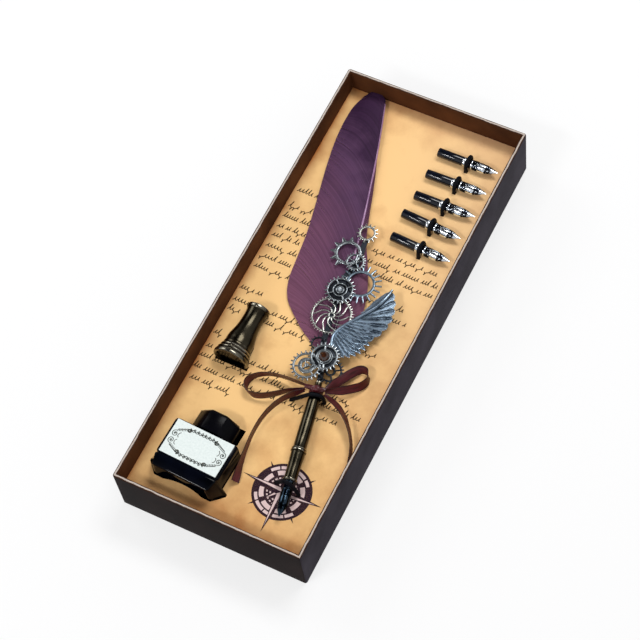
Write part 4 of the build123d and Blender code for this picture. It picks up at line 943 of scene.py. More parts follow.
# Gears: node, (across, along), height of the middle, finish and what the casting tree is given,
# twice for a gear with a seat; some are plain rings
RING = {"Hub": False, "Spokes": 0}
LOW, MIDDLE, HIGH = 1.2, 2.4, 3.6
GEARS = [
    ("crown_gear", (2.8, 170.3), LOW, "pale_casting", [
        {"Teeth": 14, "Tip radius": 6.8, "Root radius": 5.3, "Bore radius": 3.9,
         "Tooth width": 1.3, "Tooth taper": 0.4, "Turn": 0.14, **RING}]),
    ("crescent_gear", (-5.3, 154.4), LOW, "silver_casting", [
        {"Teeth": 12, "Kept teeth": 6, "Tip radius": 11.3, "Root radius": 8.4, "Bore radius": 6.3,
         "Tooth width": 3.0, "Tooth taper": 0.25, "Turn": math.radians(91), **RING}]),
    ("spoked_gear", (0.9, 148.6), MIDDLE, "silver_casting", [
        {"Teeth": 22, "Tip radius": 6.7, "Root radius": 5.6, "Bore radius": 4.5, "Hub radius": 1.2,
         "Hub bore": 0.4, "Tooth width": 0.75, "Tooth taper": 0.6, "Spokes": 5,
         "Spoke width": 0.7, "Turn": 0.3}]),
    ("long_tooth_gear", (7.5, 135.0), LOW, "blue_casting", [
        {"Teeth": 20, "Tip radius": 13.2, "Root radius": 9.2, "Bore radius": 7.5,
         "Tooth width": 1.25, "Tooth taper": 0.75, "Turn": 0.07, **RING}]),
    ("jewel_gear", (-3.3, 127.9), MIDDLE, "silver_casting", [
        {"Teeth": 22, "Tip radius": 9.6, "Root radius": 8.1, "Bore radius": 7.1, "Hub radius": 4.6,
         "Hub bore": 3.9, "Tooth width": 1.1, "Spokes": 4, "Spoke width": 0.9, "Turn": 0.52},
        {"Teeth": 0, "Root radius": 2.6, "Bore radius": 1.8, **RING}]),
    ("swirl_wheel", (-4.1, 110.5), LOW, "pale_casting", [
        {"Teeth": 44, "Tip radius": 13.3, "Root radius": 12.3, "Bore radius": 11.3,
         "Hub radius": 2.1, "Hub bore": 1.2, "Tooth width": 0.7, "Tooth taper": 0.6,
         "Spokes": 10, "Spoke width": 0.75, "Spoke sweep": math.radians(50),
         "Turn": math.radians(-43)}]),
    # Painted shade: this gear and the right gear lie low in the stack and take the darkest casting for the
    # shade they lie in
    ("small_ring_gear", (-6.9, 90.2), LOW, "dark_casting", [
        {"Teeth": 14, "Tip radius": 5.7, "Root radius": 4.6, "Bore radius": 3.5,
         "Tooth width": 0.9, **RING}]),
    ("amber_gear", (-0.6, 81.2), HIGH, "silver_casting", [
        {"Teeth": 24, "Tip radius": 9.7, "Root radius": 8.3, "Bore radius": 7.1, "Hub radius": 5.1,
         "Hub bore": 4.3, "Tooth width": 1.1, "Tooth taper": 0.7, "Spokes": 4, "Spoke width": 1.1,
         "Turn": 0.17},
        {"Teeth": 0, "Root radius": 4.1, "Bore radius": 3.3, "Thickness": 2.4, **RING}]),
    ("left_gear", (-9.8, 74.0), MIDDLE, "silver_casting", [
        {"Teeth": 22, "Tip radius": 10.0, "Root radius": 8.6, "Bore radius": 7.2, "Hub radius": 5.3,
         "Hub bore": 2.8, "Tooth width": 1.15, "Spokes": 3, "Spoke width": 1.0, "Turn": 1.3},
        {"Teeth": 0, "Root radius": 1.3, "Bore radius": 0.2, "Thickness": 2.2, "Hub": False,
         "Spokes": 3, "Spoke width": 0.8}]),
    ("right_gear", (5.0, 73.8), LOW, "dark_casting", [
        {"Teeth": 22, "Tip radius": 8.3, "Root radius": 7.0, "Bore radius": 5.9, "Hub radius": 3.2,
         "Hub bore": 1.8, "Tooth width": 1.0, "Spokes": 4, "Spoke width": 0.9, "Turn": 0.35}]),
]
# Painted shade: dark discs behind the two gears with stones, where there is only shade between their spokes:
# name, (across, along), height and radius
GEAR_FLOORS = [
    ("amber_floor", (-0.6, 81.2), 2.65, 7.2),
    ("jewel_floor", (-3.3, 127.9), 1.6, 7.2),
]

# Wing: each fan's arcs of roots and of tips as (across, along) points, its feathers, their reach,
# width, height, lift from one to the next and form; the leading edge as (across, along, width)
PRIMARY_ARCS = ((9.0, 101.0), (11.0, 108.5), (19.0, 118.6), (23.8, 99.6), (32.4, 114.5), (28.4, 133.4))
COVERT_ARCS = ((2.0, 93.0), (2.6, 99.6), (9.4, 107.6), (9.6, 83.8), (22.6, 92.0), (20.6, 109.6))
WING_FANS = [
    (PRIMARY_ARCS, 7, 1.0, 7.4, 1.8, 0.06, "rounded"),
    (COVERT_ARCS, 10, 1.0, 4.6, 2.2, 0.03, "pointed"),
    (COVERT_ARCS, 11, 0.84, 4.0, 2.45, 0.03, "pointed"),
    (COVERT_ARCS, 10, 0.68, 3.6, 2.7, 0.03, "pointed"),
    (COVERT_ARCS, 10, 0.5, 3.2, 2.95, 0.02, "pointed"),
    (COVERT_ARCS, 9, 0.34, 2.8, 3.15, 0.02, "pointed"),
]
WING_EDGE = [
    (1.6, 89.4, 1.6), (0.9, 94.0, 1.7), (1.6, 98.8, 1.8), (5.2, 104.0, 1.9), (9.6, 108.6, 2.0),
    (14.6, 113.6, 2.3), (19.6, 118.8, 2.8), (23.6, 124.2, 3.2), (26.4, 129.6, 2.8), (28.0, 134.2, 1.2),
]
WING_ARM_HEIGHT = 3.3
PLUME_OUTLINES = {
    "rounded": [
        (0.0, 0.3), (0.12, 0.42), (0.3, 0.5), (0.6, 0.5), (0.8, 0.48), (0.91, 0.4), (0.97, 0.26),
        (1.0, 0.08)],
    "pointed": [
        (0.0, 0.3), (0.12, 0.42), (0.3, 0.5), (0.55, 0.5), (0.72, 0.45), (0.85, 0.32), (0.94, 0.16),
        (1.0, 0.02)],
}


def plume_mesh(shape):
    """One feather of unit width and length: ribbed, with a ridge along its middle."""
    across = [-1.0, -0.55, -0.12, 0.0, 0.12, 0.55, 1.0, 0.96, 0.0, -0.96]
    heights = [0.18, 0.5, 0.58, 0.78, 0.58, 0.5, 0.18, 0.0, 0.0, 0.0]
    rings, uvs = [], []
    for along, half in PLUME_OUTLINES[shape]:
        fall = 1.0 - 0.45 * along
        rings.append([Vector((half * a, along, h * fall)) for a, h in zip(across, heights)])
        uvs += [(half * a, along) for a in across]
    return mesh_of("plume", stitched(rings), Matrix.Identity(4), ("plume", uvs))


def wing_arm_mesh():
    """Smooth leading edge of the wing, thick at its root and thin at its tip."""
    line = eased([(x, y, WING_ARM_HEIGHT) for x, y, _ in WING_EDGE], 6)
    widths = [w for _, _, w in WING_EDGE]

    def section(share):
        width = between(widths, share)
        return oval(width, 0.85 * width, 16)

    return mesh_of("wing_arm", swept(line, section), ON_PEN)


def stone_mesh(centre, radius, height, sides):
    """A cut stone: girdle, two rows of facets and a table."""
    rings = []
    for share, rise, first in ((1.0, 0.0, 0.5), (1.0, 0.28, 0.5), (0.8, 0.68, 0.0), (0.5, 0.96, 0.5)):
        ring = [polar(centre, share * radius, a) for a in around(sides, first)]
        rings.append([Vector((x, y, centre[2] + rise * height)) for x, y in ring])
    vertices, faces = stitched(rings)
    split = [three for a, b, c, d in faces[:-2] for three in ((a, b, c), (a, c, d))]
    return mesh_of("stone", (vertices, split + faces[-2:]), ON_PEN)


# Nib unit: outlines of its shank and of its collars, (radius, station) from the shank's rear
SHANK_OUTLINE = [
    (0.0, 0.0), (2.6, 0.0), (2.9, 0.15), (3.0, 0.5), (3.0, 17.0), (2.9, 17.3), (2.6, 17.4),
    (2.6, 22.6), (2.7, 23.6), (2.75, 30.0), (2.5, 33.0), (1.7, 35.5), (0.8, 37.4), (0.0, 37.6),
]
NIB_COLLARS = [
    [(2.5, 17.3), (3.1, 17.35), (3.25, 17.7), (3.25, 18.5), (3.1, 18.85), (2.5, 18.9)],
    [(2.5, 21.9), (2.9, 21.95), (3.05, 22.4), (3.3, 22.8), (3.35, 23.4), (3.2, 23.7), (2.5, 23.75)],
]
# Nib sheet: (station, radius, half the angle that it wraps in degrees)
NIB_SHEET = [
    (23.6, 3.25, 100), (26.0, 3.3, 100), (30.0, 3.28, 100), (32.0, 3.2, 94), (34.0, 2.95, 80),
    (36.0, 2.5, 62), (38.0, 1.95, 44), (39.4, 1.55, 28), (40.2, 1.35, 16), (40.5, 1.3, 9),
]
NIB_SHEET_THICKNESS = 0.32


def nib_meshes(where):
    """Shank with its feed, and the nib with its collars."""
    rings, uvs = [], []
    for station, radius, wrap in NIB_SHEET:
        angles = [math.radians(wrap * (i / 5 - 1)) for i in range(11)]
        sheet = [(radius, a) for a in angles]
        sheet += [(radius - NIB_SHEET_THICKNESS, a) for a in reversed(angles)]
        rings.append([Vector((r * math.sin(a), station, r * math.cos(a))) for r, a in sheet])
        uvs += [(station - NIB_SHEET[0][0], radius * a) for _, a in sheet]
    parts = [stitched(rings)]
    for outline in NIB_COLLARS:
        parts.append(turned([*outline, (2.4, outline[-1][1]), (2.4, outline[0][1])], 40, loop=True))
    nib = joined(parts)
    # The collars all take one plain spot of the sheet's map
    uvs += [(6.0, 3.0)] * (len(nib[0]) - len(uvs))
    return mesh_of("shank", turned(SHANK_OUTLINE, 40), where), mesh_of("nib", nib, where, ("sheet", uvs))


# Elastic ties over the spare nibs: height of their feet, where their sides end, half their width
# and how far from a nib's rear; then the pen's: station, turn in degrees and (across, height) points
TIE_FOOT = 17.0
TIE_SHOULDER = 22.6
TIE_ARCH = 4.3
TIE_AT = 20.6
PEN_TIES = {
    "pen_tie_front": (-3.0, -6.4, [
        (-9.4, TIE_FOOT), (-9.4, 21.4), (-8.6, 22.6), (-5.4, 27.2), (-2.6, 31.6), (0.0, 32.2),
        (2.4, 31.4), (5.6, 26.6), (6.8, 23.4), (6.8, TIE_FOOT)]),
    "pen_tie_rear": (55.0, 18.0, [
        (-14.3, TIE_FOOT), (-14.3, 21.6), (-13.2, 23.0), (-8.0, 27.2), (-2.8, 31.6), (0.2, 32.2),
        (3.0, 31.6), (4.9, 29.6), (5.5, 27.0), (5.5, TIE_FOOT)]),
}
ROD_SIDES = 14


def rod_mesh(points, where, up):
    """A braided rod along a smooth curve, with lengths in millimetres along its map."""
    width = bpy.context.scene.gift_box_sizes.elastic_width / MM
    line = eased(points, 6)
    uvs = [(length, i / ROD_SIDES) for length in travelled_along(line) for i in range(ROD_SIDES)]
    shape = swept(line, lambda share: oval(width, width, ROD_SIDES), up)
    return mesh_of("elastic", shape, where, ("run", uvs))


# Ink bottle: sections along its axis, (station, half width at the middle of its depth, half width at
# its faces, half depth, corner radius); the foot's sides are two facets, the body's are flat
BOTTLE_SECTIONS = [
    (2.0, 11.0, 11.0, 10.4, 1.0), (1.6, 13.6, 13.6, 11.4, 1.0), (0.2, 17.2, 16.6, 12.4, 1.0),
    (0.0, 18.2, 17.6, 13.2, 1.0), (0.35, 19.4, 18.8, 14.2, 1.1), (1.2, 20.6, 19.4, 14.6, 1.1),
    (5.4, 24.8, 20.3, 14.9, 1.1), (6.4, 25.4, 20.6, 15.0, 1.1), (7.3, 25.5, 20.7, 15.0, 1.1),
    (7.8, 25.2, 20.5, 14.8, 1.1), (8.2, 24.1, 20.2, 14.2, 1.2), (8.7, 22.8, 20.4, 14.2, 1.4),
    (9.3, 21.7, 21.0, 14.8, 1.8), (9.9, 21.4, 21.3, 15.0, 2.0), (31.2, 21.4, 21.3, 15.0, 2.0),
    (32.2, 21.1, 21.0, 14.7, 2.0), (32.8, 20.3, 20.2, 14.0, 2.2), (33.0, 19.6, 19.5, 13.3, 2.2),
]
NECK_OUTLINE = [(9.0, 32.6), (9.0, 43.9), (8.8, 44.07)]
# Cap: its bore, (radius, station), and its outline, (half the width across flats, station)
CAP_BORE = [(9.08, 44.9), (9.08, 33.9)]
CAP_OUTSIDE = [
    (12.8, 33.9), (13.15, 34.1), (13.3, 34.6), (13.3, 45.4), (13.1, 46.0), (12.1, 47.2), (11.7, 47.4),
]
LABEL_TOP = 15.25
LABEL_MIDDLE = 20.6
LABEL_STROKE = 0.42


def bottle_loop(station, middle, half_width, half_depth, corner):
    """Points round the bottle: four rounded corners, and a point on each side's middle."""
    corners = rounded_corners(half_width, half_depth, corner, 4)
    plan = [(middle, 0.0), *corners[0], *corners[1], (-middle, 0.0), *corners[2], *corners[3]]
    return [Vector((x, station, z)) for x, z in plan]


def octagon(flat, station):
    """Sixteen points round an octagon, two close to each corner, which they round off."""
    round_share = 0.05
    radius = flat / math.cos(math.pi / 8) * (1 - 0.25 * round_share)
    angles = [
        math.pi / 4 * i + math.pi / 8 + lean * math.pi / 8 * round_share
        for i in range(8) for lean in (-1, 1)]
    return [Vector((radius * math.cos(a), station, radius * math.sin(a))) for a in angles]


# Ribbon

KNOT_STATION = 59.2
KNOT_LEFT = -6.3
KNOT_RIGHT = 5.8
KNOT_HEIGHT = 5.0
RIBBON_TOP = 33.0
RIBBON_WIDTH = 5.5
# Share of its width that the ribbon keeps at the knot, and where it is spread again
GATHERED = 0.55
SPREAD_AFTER = 6.0
# Ribbons: side of the knot, where they leave it and come back, far end, plan points from the pen's
# mouth as in the part, but for the right loop's outer ones, which the photo shows up to 3 mm
# further out, and the width's lean from upright at each point, the knot's with them
RIBBONS = {
    "ribbon_loop_left": (
        KNOT_LEFT, (1.5, -0.4), "object",
        [(-29.0, 58.6), (-40.0, 58.0), (-49.0, 55.0), (-54.4, 49.0), (-51.6, 42.0), (-43.4, 41.2),
         (-34.0, 46.4), (-26.0, 52.8)],
        [-4, -6, -4, 4, 26, 14, -12, -10, -4, 4]),
    "ribbon_loop_right": (
        KNOT_RIGHT, (1.6, -0.1), "object",
        [(-2.0, 70.0), (2.0, 79.0), (6.8, 84.6), (12.6, 81.2), (12.0, 73.8), (5.8, 67.4), (-1.0, 62.2)],
        [-40, -54, -50, -30, 8, 30, 40, 42, 30]),
    "ribbon_tail_left": (
        KNOT_LEFT, (-1.7,), "bare",
        [(-25.0, 48.6), (-30.2, 40.4), (-33.4, 30.6), (-34.2, 19.0), (-33.0, 7.0), (-31.4, -3.4),
         (-29.6, -12.5)],
        [10, 8, 6, 4, 4, 6, 18, 44]),
    "ribbon_tail_right": (
        KNOT_RIGHT, (-1.6,), "bare",
        [(1.8, 55.8), (9.4, 51.6), (15.6, 45.8), (20.6, 39.2), (24.2, 32.4), (26.0, 25.0)],
        [46, 46, 34, 22, 16, 12, 10]),
}


def ribbon_route(side, spots, points):
    """Route in metres, sinking from the knot until the ribbon's lower edge is near the card."""
    first, *back = [Vector(pen_point(side, KNOT_STATION + spot)) for spot in spots]
    plan = [first, *[Vector((PEN_MOUTH[0] + x, PEN_MOUTH[1] + y)) for x, y in points], *back]
    far = max(plan, key=lambda p: (p - first).length) - first
    drop = RIBBON_TOP - RIBBON_WIDTH - CARD_TOP - 0.3
    route = []
    for p in plan:
        share = (p - first).dot(far) / far.length_squared
        route.append(Vector((p.x, p.y, RIBBON_TOP - RIBBON_WIDTH / 2 - drop * share)) * MM)
    return route


def nurbs_line(name, points):
    """Points along a smooth spline of order 3 through a route's control points."""
    holder = curve_object(name, "NURBS", points)
    curve = holder.data
    curve.resolution_u = 24
    curve.splines[0].order_u = 3
    curve.splines[0].use_endpoint_u = True
    mesh = bpy.data.meshes.new_from_object(holder)
    line = [v.co.copy() for v in mesh.vertices]
    bpy.data.objects.remove(holder)
    bpy.data.curves.remove(curve)
    bpy.data.meshes.remove(mesh)
    return line


def ribbon_band(name, width, thickness):
    """A flat band that follows its route, its width leaning from upright as the table says."""
    side, spots, far_end, points, leans = RIBBONS[name]
    line = [point / MM for point in nurbs_line(name + "_line", ribbon_route(side, spots, points))]
    travelled = travelled_along(line)
    last = len(line) - 1
    shares = [column / 6 for column in range(7)]
    rings, uvs = [], []
    for i, centre in enumerate(line):
        lean = math.radians(between(leans, i / last, lambda blend: blend * blend * (3 - 2 * blend)))
        ahead, aside, up = axes_at(line, i, Vector((0, 0, 1)))
        across = up * math.cos(lean) + aside * math.sin(lean)
        normal = ahead.cross(across).normalized()
        # The ribbon is gathered where it leaves the knot, and cupped along its length
        spread = min(travelled[i] / SPREAD_AFTER, 1.0)
        if far_end == "object":
            spread = min(spread, (last - i) / last * 8.0)
        gather = GATHERED + (1 - GATHERED) * spread
        ring = []
        for face_side, order in ((1, shares), (-1, shares[::-1])):
            for t in order:
                cup = 0.16 * width * (1 - (2 * t - 1) ** 2) * (1.2 - gather)
                offset = normal * (cup + 0.03 * width + face_side * thickness / 2)
                ring.append(centre + across * ((t - 0.5) * width * gather) + offset)
                uvs.append((travelled[i], t * width))
        rings.append(ring)
    mesh = mesh_of(name, stitched(rings), IN_TRAY, ("band", uvs))
    piece = add_piece(name, mesh, "quill_pen", "satin_ribbon", (name,), 60)


def knot_mesh():
    """Knot: a twisted strand across the barrel, a narrow wrap over its middle and a band below."""
    middle = Vector((0.0, KNOT_STATION + 0.3, KNOT_HEIGHT))
    strand, wrap = [], []
    for share in [i / 28 for i in range(29)]:
        x = -6.6 + 12.8 * share
        swell = math.sin(math.pi * (0.08 + 0.84 * share)) ** 0.35
        pinch = 1.0 - 0.2 * math.exp(-((x - 0.2) / 1.5) ** 2)
        ring = []
        for angle in around(28):
            pleat = 1.0 + 0.13 * math.sin(3 * angle + 1.1 * x) + 0.05 * math.sin(7 * angle - 0.8 * x)
            size = swell * pinch * pleat
            ring.append(middle + Vector((x, 1.75 * size * math.cos(angle), 1.25 * size * math.sin(angle))))
        strand.append(ring)
    for turn in around(32):
        out = Vector((0.0, math.cos(turn), math.sin(turn)))
        centre = middle + Vector((0.5 + 0.5 * out.z, 1.85 * out.y, 1.35 * out.z))
        ring = []
        for angle in around(14):
            fold = 1.0 + 0.12 * math.sin(3 * angle + 0.6)
            sideways = Vector((1.5 * math.cos(angle) * fold, 0.0, 0.0))
            ring.append(centre + sideways + out * 0.36 * math.sin(angle))
        wrap.append(ring)
    band = [(3.67, -1.5), (3.67, 1.9), (4.0, 2.1), (4.25, 1.9), (4.35, 0.9), (4.28, 0.2), (4.36, -0.6),
            (4.25, -1.5), (4.0, -1.7)]
    below = turned([(r, KNOT_STATION + s) for r, s in band], 40, loop=True)
    shape = joined([stitched(strand), stitched(wrap, loop=True), below])
    # Gathered folds, with their relief and painted shade, run across the strand and round the barrel
    uvs = [(v.x + 40.0, 2.8 + 0.5 * math.sin(1.4 * v.y)) for v in shape[0]]
    return mesh_of("ribbon_knot_folded", shape, ON_PEN, ("band", uvs))


# Printing

COMPASS_AT = (28.5, -117.0)
PRINT_STEP = 0.05
# Rows of pen practice strokes on the card: height up the card, then the runs' ends
SCRIPT_ROWS = [
    (69, (-57, -40)), (57, (-57, -41)), (49, (-57, -37), (5, 51)), (41, (-57, -37), (5, 54)),
    (34, (-57, -36), (12, 53)), (26, (-57, -35)), (18, (-57, -34), (17, 42)),
    (10, (-57, -33), (19, 47)), (-7, (-58, -42)), (-16, (-58, -47), (-32, -7), (31, 41)),
    (-23, (-58, -47), (-32, -2)), (-41, (-58, -51)), (-51, (-58, -53), (-30, 1), (27, 40)),
    (-58, (-59, -1), (19, 51)), (-66, (-59, 38)), (-74, (-57, -27)),
]


# Pale bricks on the compass's dark disc: inner and outer radius, and the angles of each
COMPASS_BRICKS = [
    (14.5, 16.4, ((98, 118), (121, 141), (204, 222), (225, 250), (253, 266), (276, 300), (303, 322),
                  (36, 52), (56, 78))),
    (10.8, 13.6, ((8, 38), (52, 83), (97, 128), (142, 172), (188, 218), (232, 262), (278, 308),
                  (322, 352))),
]


def compass_star(tips, waist, height):
    """Long points of a compass rose, each in two halves: the left halves, then the right ones."""
    left, right = [], []
    for angle, reach in tips:
        turn = math.radians(angle)
        tip = polar(COMPASS_AT, reach, turn)
        left.append(flat_area([COMPASS_AT, tip, polar(COMPASS_AT, waist, turn + math.pi / 4)], height))
        right.append(flat_area([COMPASS_AT, polar(COMPASS_AT, waist, turn - math.pi / 4), tip], height))
    return left, right


def pen_strokes(start, end, base, lively):
    """Lines of slanting pen practice waves, in short groups with gaps, that spell nothing."""
    groups = []
    x = start
    while x < end - 2:
        waves = lively.randint(2, 6)
        pitch = lively.uniform(1.7, 2.2)
        waves = max(min(waves, int((end - x) / pitch)), 1)
        heights = [lively.choice((2.2, 2.6, 2.4, 2.5, 4.2, -2.2)) for _ in range(waves)]
        points = []
        for t in [step / 10 for step in range(waves * 10 + 1)]:
            height = heights[min(int(t), waves - 1)]
            y = height * (0.5 - 0.5 * math.cos(TURN * t)) + 0.15 * math.sin(0.9 * t)
            points.append((x + pitch * t + 0.42 * math.sin(TURN * t) + 0.3 * y, base + y))
        groups.append(points)
        x += waves * pitch + lively.uniform(1.3, 2.2)
    return groups


def curl(centre, radius, turns, start, sense):
    """Plan points of a scroll that winds in to its centre."""
    steps = int(turns * 18)
    return [
        polar(centre, radius * (1 - 0.85 * share), math.radians(start) + sense * TURN * turns * share)
        for share in [i / steps for i in range(steps + 1)]]


def label_strokes():
    """Scroll border of the label: a vine band above and below, rings at the sides, leafy corners."""
    # Strokes of one corner, from the label's middle: a heavy scroll ends the band, then leaves run
    # down to the ring at the side
    corner = [
        curl((9.3, 7.5), 1.55, 1.6, 90, 1), curl((9.3, 7.5), 1.2, 1.3, 90, 1),
        curl((16.2, 2.3), 2.1, 1.5, 90, -1), [(13.2, 0.6), (14.0, 1.6), (13.9, 3.2), (12.9, 4.2)]]
    for x, y in [(10.8 + 0.85 * k, 7.4 - 0.4 * k) for k in range(7)]:
        corner.append([(x - 0.7, y + 0.9), (x, y), (x - 0.3, y - 1.0)])
    strokes = []
    for sy in (1, -1):
        # Two stems that cross along the band, with leaves on them
        for phase in (0.0, math.pi):
            strokes.append([
                (x, LABEL_MIDDLE + sy * (8.1 + 0.55 * math.cos(0.62 * x * 2.2 + phase)))
                for x in [step / 4 for step in range(-34, 35)]])
        for x in (-6.6, -3.9, -1.3, 1.3, 3.9, 6.6):
            strokes.append(curl((x, LABEL_MIDDLE + sy * 8.9), 0.75, 1.2, 90, 1 if x > 0 else -1))
        for sx in (1, -1):
            strokes += [[(sx * x, LABEL_MIDDLE + sy * y) for x, y in stroke] for stroke in corner]
            strokes.append(curl((sx * 16.2, LABEL_MIDDLE + sy * 2.3), 0.5, 1.0, 0, 1))
    return strokes


# Add-on

def measure(name, description, default, least, most, precision):
    """A length that the panel can change."""
    return bpy.props.FloatProperty(
        name=name, description=description, default=default, min=least, max=most,
        precision=precision, unit="LENGTH")


def dye(name, description, shade):
    """A colour that the panel can change."""
    return bpy.props.FloatVectorProperty(
        name=name, description=description, default=colour(shade), min=0.0, max=1.0, size=4,
        subtype="COLOR")


class GiftBoxSizes(bpy.types.PropertyGroup):
    ribbon_width: measure("Ribbon width", "Width of the satin ribbon", 0.0056, 0.003, 0.009, 4)
    ribbon_thickness: measure(
        "Ribbon thickness", "Thickness of the ribbon", 0.00035, 0.0001, 0.001, 5)
    elastic_width: measure(
        "Elastic width", "Diameter of the elastic cords over the pen and the nibs", 0.0024, 0.001,
        0.004, 4)
    stroke_width: measure(
        "Printed stroke width", "Width of the pen strokes printed on the card", 0.00055, 0.0001,
        0.001, 5)
    barbs: bpy.props.IntProperty(
        name="Feather barbs", description="Barbs on each side of the feather",
        default=360, min=60, max=900)
    plume_width: bpy.props.FloatProperty(
        name="Wing feather width", description="Width of the wing's feathers against their drawn width",
        default=1.0, min=0.5, max=1.5, subtype="FACTOR")
    lamp_level: bpy.props.FloatProperty(
        name="Lamp level", description="Strength of the studio lamps and sky", default=1.0, min=0.0)


class GiftBoxColours(bpy.types.PropertyGroup):
    ribbon: dye("Ribbon", "Body colour of the satin", "#611b23")
    feather_low: dye("Feather, low end", "Dye of the feather near the gears", "#74495f")
    feather_middle: dye("Feather, middle", "Dye of the feather's upper half", "#523753")
    feather_tip: dye("Feather, tip", "Dye of the feather at its tip", "#36203a")
    card: dye("Card", "Ground colour of the printed card", "#f7ca8a")
    card_edge: dye("Card edge", "Colour of the card towards its edges", "#b36c36")
    floor: dye("Floor", "Colour of the studio floor", "#f4f4f4")


class GIFTBOX_OT_stage(bpy.types.Operator):
    """Sets up the pale floor, the soft lamps and the camera"""
    bl_idname = "gift_box.stage"
    bl_label = "Stage"

    def execute(self, context):
        scene = context.scene
        mesh = bpy.data.meshes.new("floor")
        mesh.from_pydata([(-3, -3, 0), (3, -3, 0), (3, 3, 0), (-3, 3, 0)], [], [(0, 1, 2, 3)])
        mesh.transform(Matrix.Translation((0, 0, -0.0002)))
        material, add, shader = start_finish("pale_floor", {
            "Base Color": scene.gift_box_colours.floor, "Roughness": 0.9, "Specular IOR Level": 0.1})
        # The camera, reflections and glass see more than half of the floor as plain white
        path = add("ShaderNodeLightPath").outputs
        seen = path["Is Camera Ray"]
        for ray in ("Is Transmission Ray", "Is Glossy Ray"):
            seen = add("ShaderNodeMath", {0: seen, 1: path[ray]}, operation="MAXIMUM")
        share = add("ShaderNodeMath", {0: seen, 1: 0.7}, operation="MULTIPLY")
        white = add("ShaderNodeEmission", {0: colour("#ffffff"), 1: 1.0})
        blend = add("ShaderNodeMixShader", {0: share, 1: shader, 2: white})
        feed(material.node_tree.nodes["Material Output"], {0: blend})
        mesh.materials.append(material)
        floor = new_object("floor", mesh)

        camera = bpy.data.cameras.new("camera")
        camera.sensor_width = 36.0
        camera.lens = 119.77
        camera.clip_end = 20.0
        right = Vector((0.88862365, 0.4499633, -0.08877517))
        down = Vector((0.36330483, -0.80874097, -0.46254474))
        ahead = Vector((-0.27992428, 0.37877575, -0.8821402))
        turn = Matrix((right, -down, -ahead)).transposed().to_4x4()
        scene.camera = new_object("camera", camera)
        scene.camera.matrix_world = Matrix.Translation((0.35917, -0.49594, 1.16113)) @ turn

        level = scene.gift_box_sizes.lamp_level
        for name, at, wide, deep, power in (
            ("top_lamp", (0.17, 0.735, 1.41), 0.8, 0.4, 12.5),
            ("left_lamp", (-1.25, 0.35, 0.95), 0.6, 0.6, 4.5),
            ("front_lamp", (-0.45, -0.93, 1.25), 0.5, 0.07, 7.0),
        ):
            lamp = bpy.data.lights.new(name, "AREA")
            lamp.shape = "RECTANGLE"
            lamp.size, lamp.size_y = wide, deep
            lamp.energy = power * level
            holder = new_object(name, lamp)
            holder.location = at
            holder.rotation_euler = (-Vector(at)).to_track_quat("-Z", "Y").to_euler()

        world = bpy.data.worlds.new("studio")
        world.use_nodes = True
        world.node_tree.nodes.clear()
        add = partial(add_node, world.node_tree)
        # A dark flag hangs where level surfaces would mirror the sky to the camera
        toward = add("ShaderNodeVectorMath", {
            0: add("ShaderNodeTexCoord"), 1: (-0.28, 0.38, 0.88)},
            operation="DOT_PRODUCT").outputs["Value"]
        sky = add("ShaderNodeValToRGB", {0: toward}, stops=[
            (0.0, "#c8c8ca"), (0.62, "#bcbcbe"), (0.93, "#303032")])
        light = add("ShaderNodeBackground", {0: sky, 1: 1.1 * level})
        add("ShaderNodeOutputWorld", {0: light})
        scene.world = world
        scene.view_settings.view_transform = "Standard"
        return {"FINISHED"}


class GIFTBOX_OT_ribbon(bpy.types.Operator):
    """Ties the bow: two loops and two tails from a folded knot"""
    bl_idname = "gift_box.ribbon"
    bl_label = "Ribbon Bow"

    def execute(self, context):
        sizes = context.scene.gift_box_sizes
        for name in RIBBONS:
            ribbon_band(name, sizes.ribbon_width / MM, sizes.ribbon_thickness / MM)
        add_piece("ribbon_knot_folded", knot_mesh(), "quill_pen", "satin_ribbon", ("ribbon_knot",), 60)
        return {"FINISHED"}


class GIFTBOX_OT_tray(bpy.types.Operator):
    """Folds the covering paper over the tray's walls"""
    bl_idname = "gift_box.tray"
    bl_label = "Tray Paper"

    def execute(self, context):
        rings = [tray_loop(inset, height) for inset, height in PAPER_SECTION]
        paper = mesh_of("tray_paper", stitched(rings, loop=True), IN_TRAY)
        add_piece("tray_paper", paper, "tray", "covering_paper", ("tray_wrap",), 35)
        return {"FINISHED"}


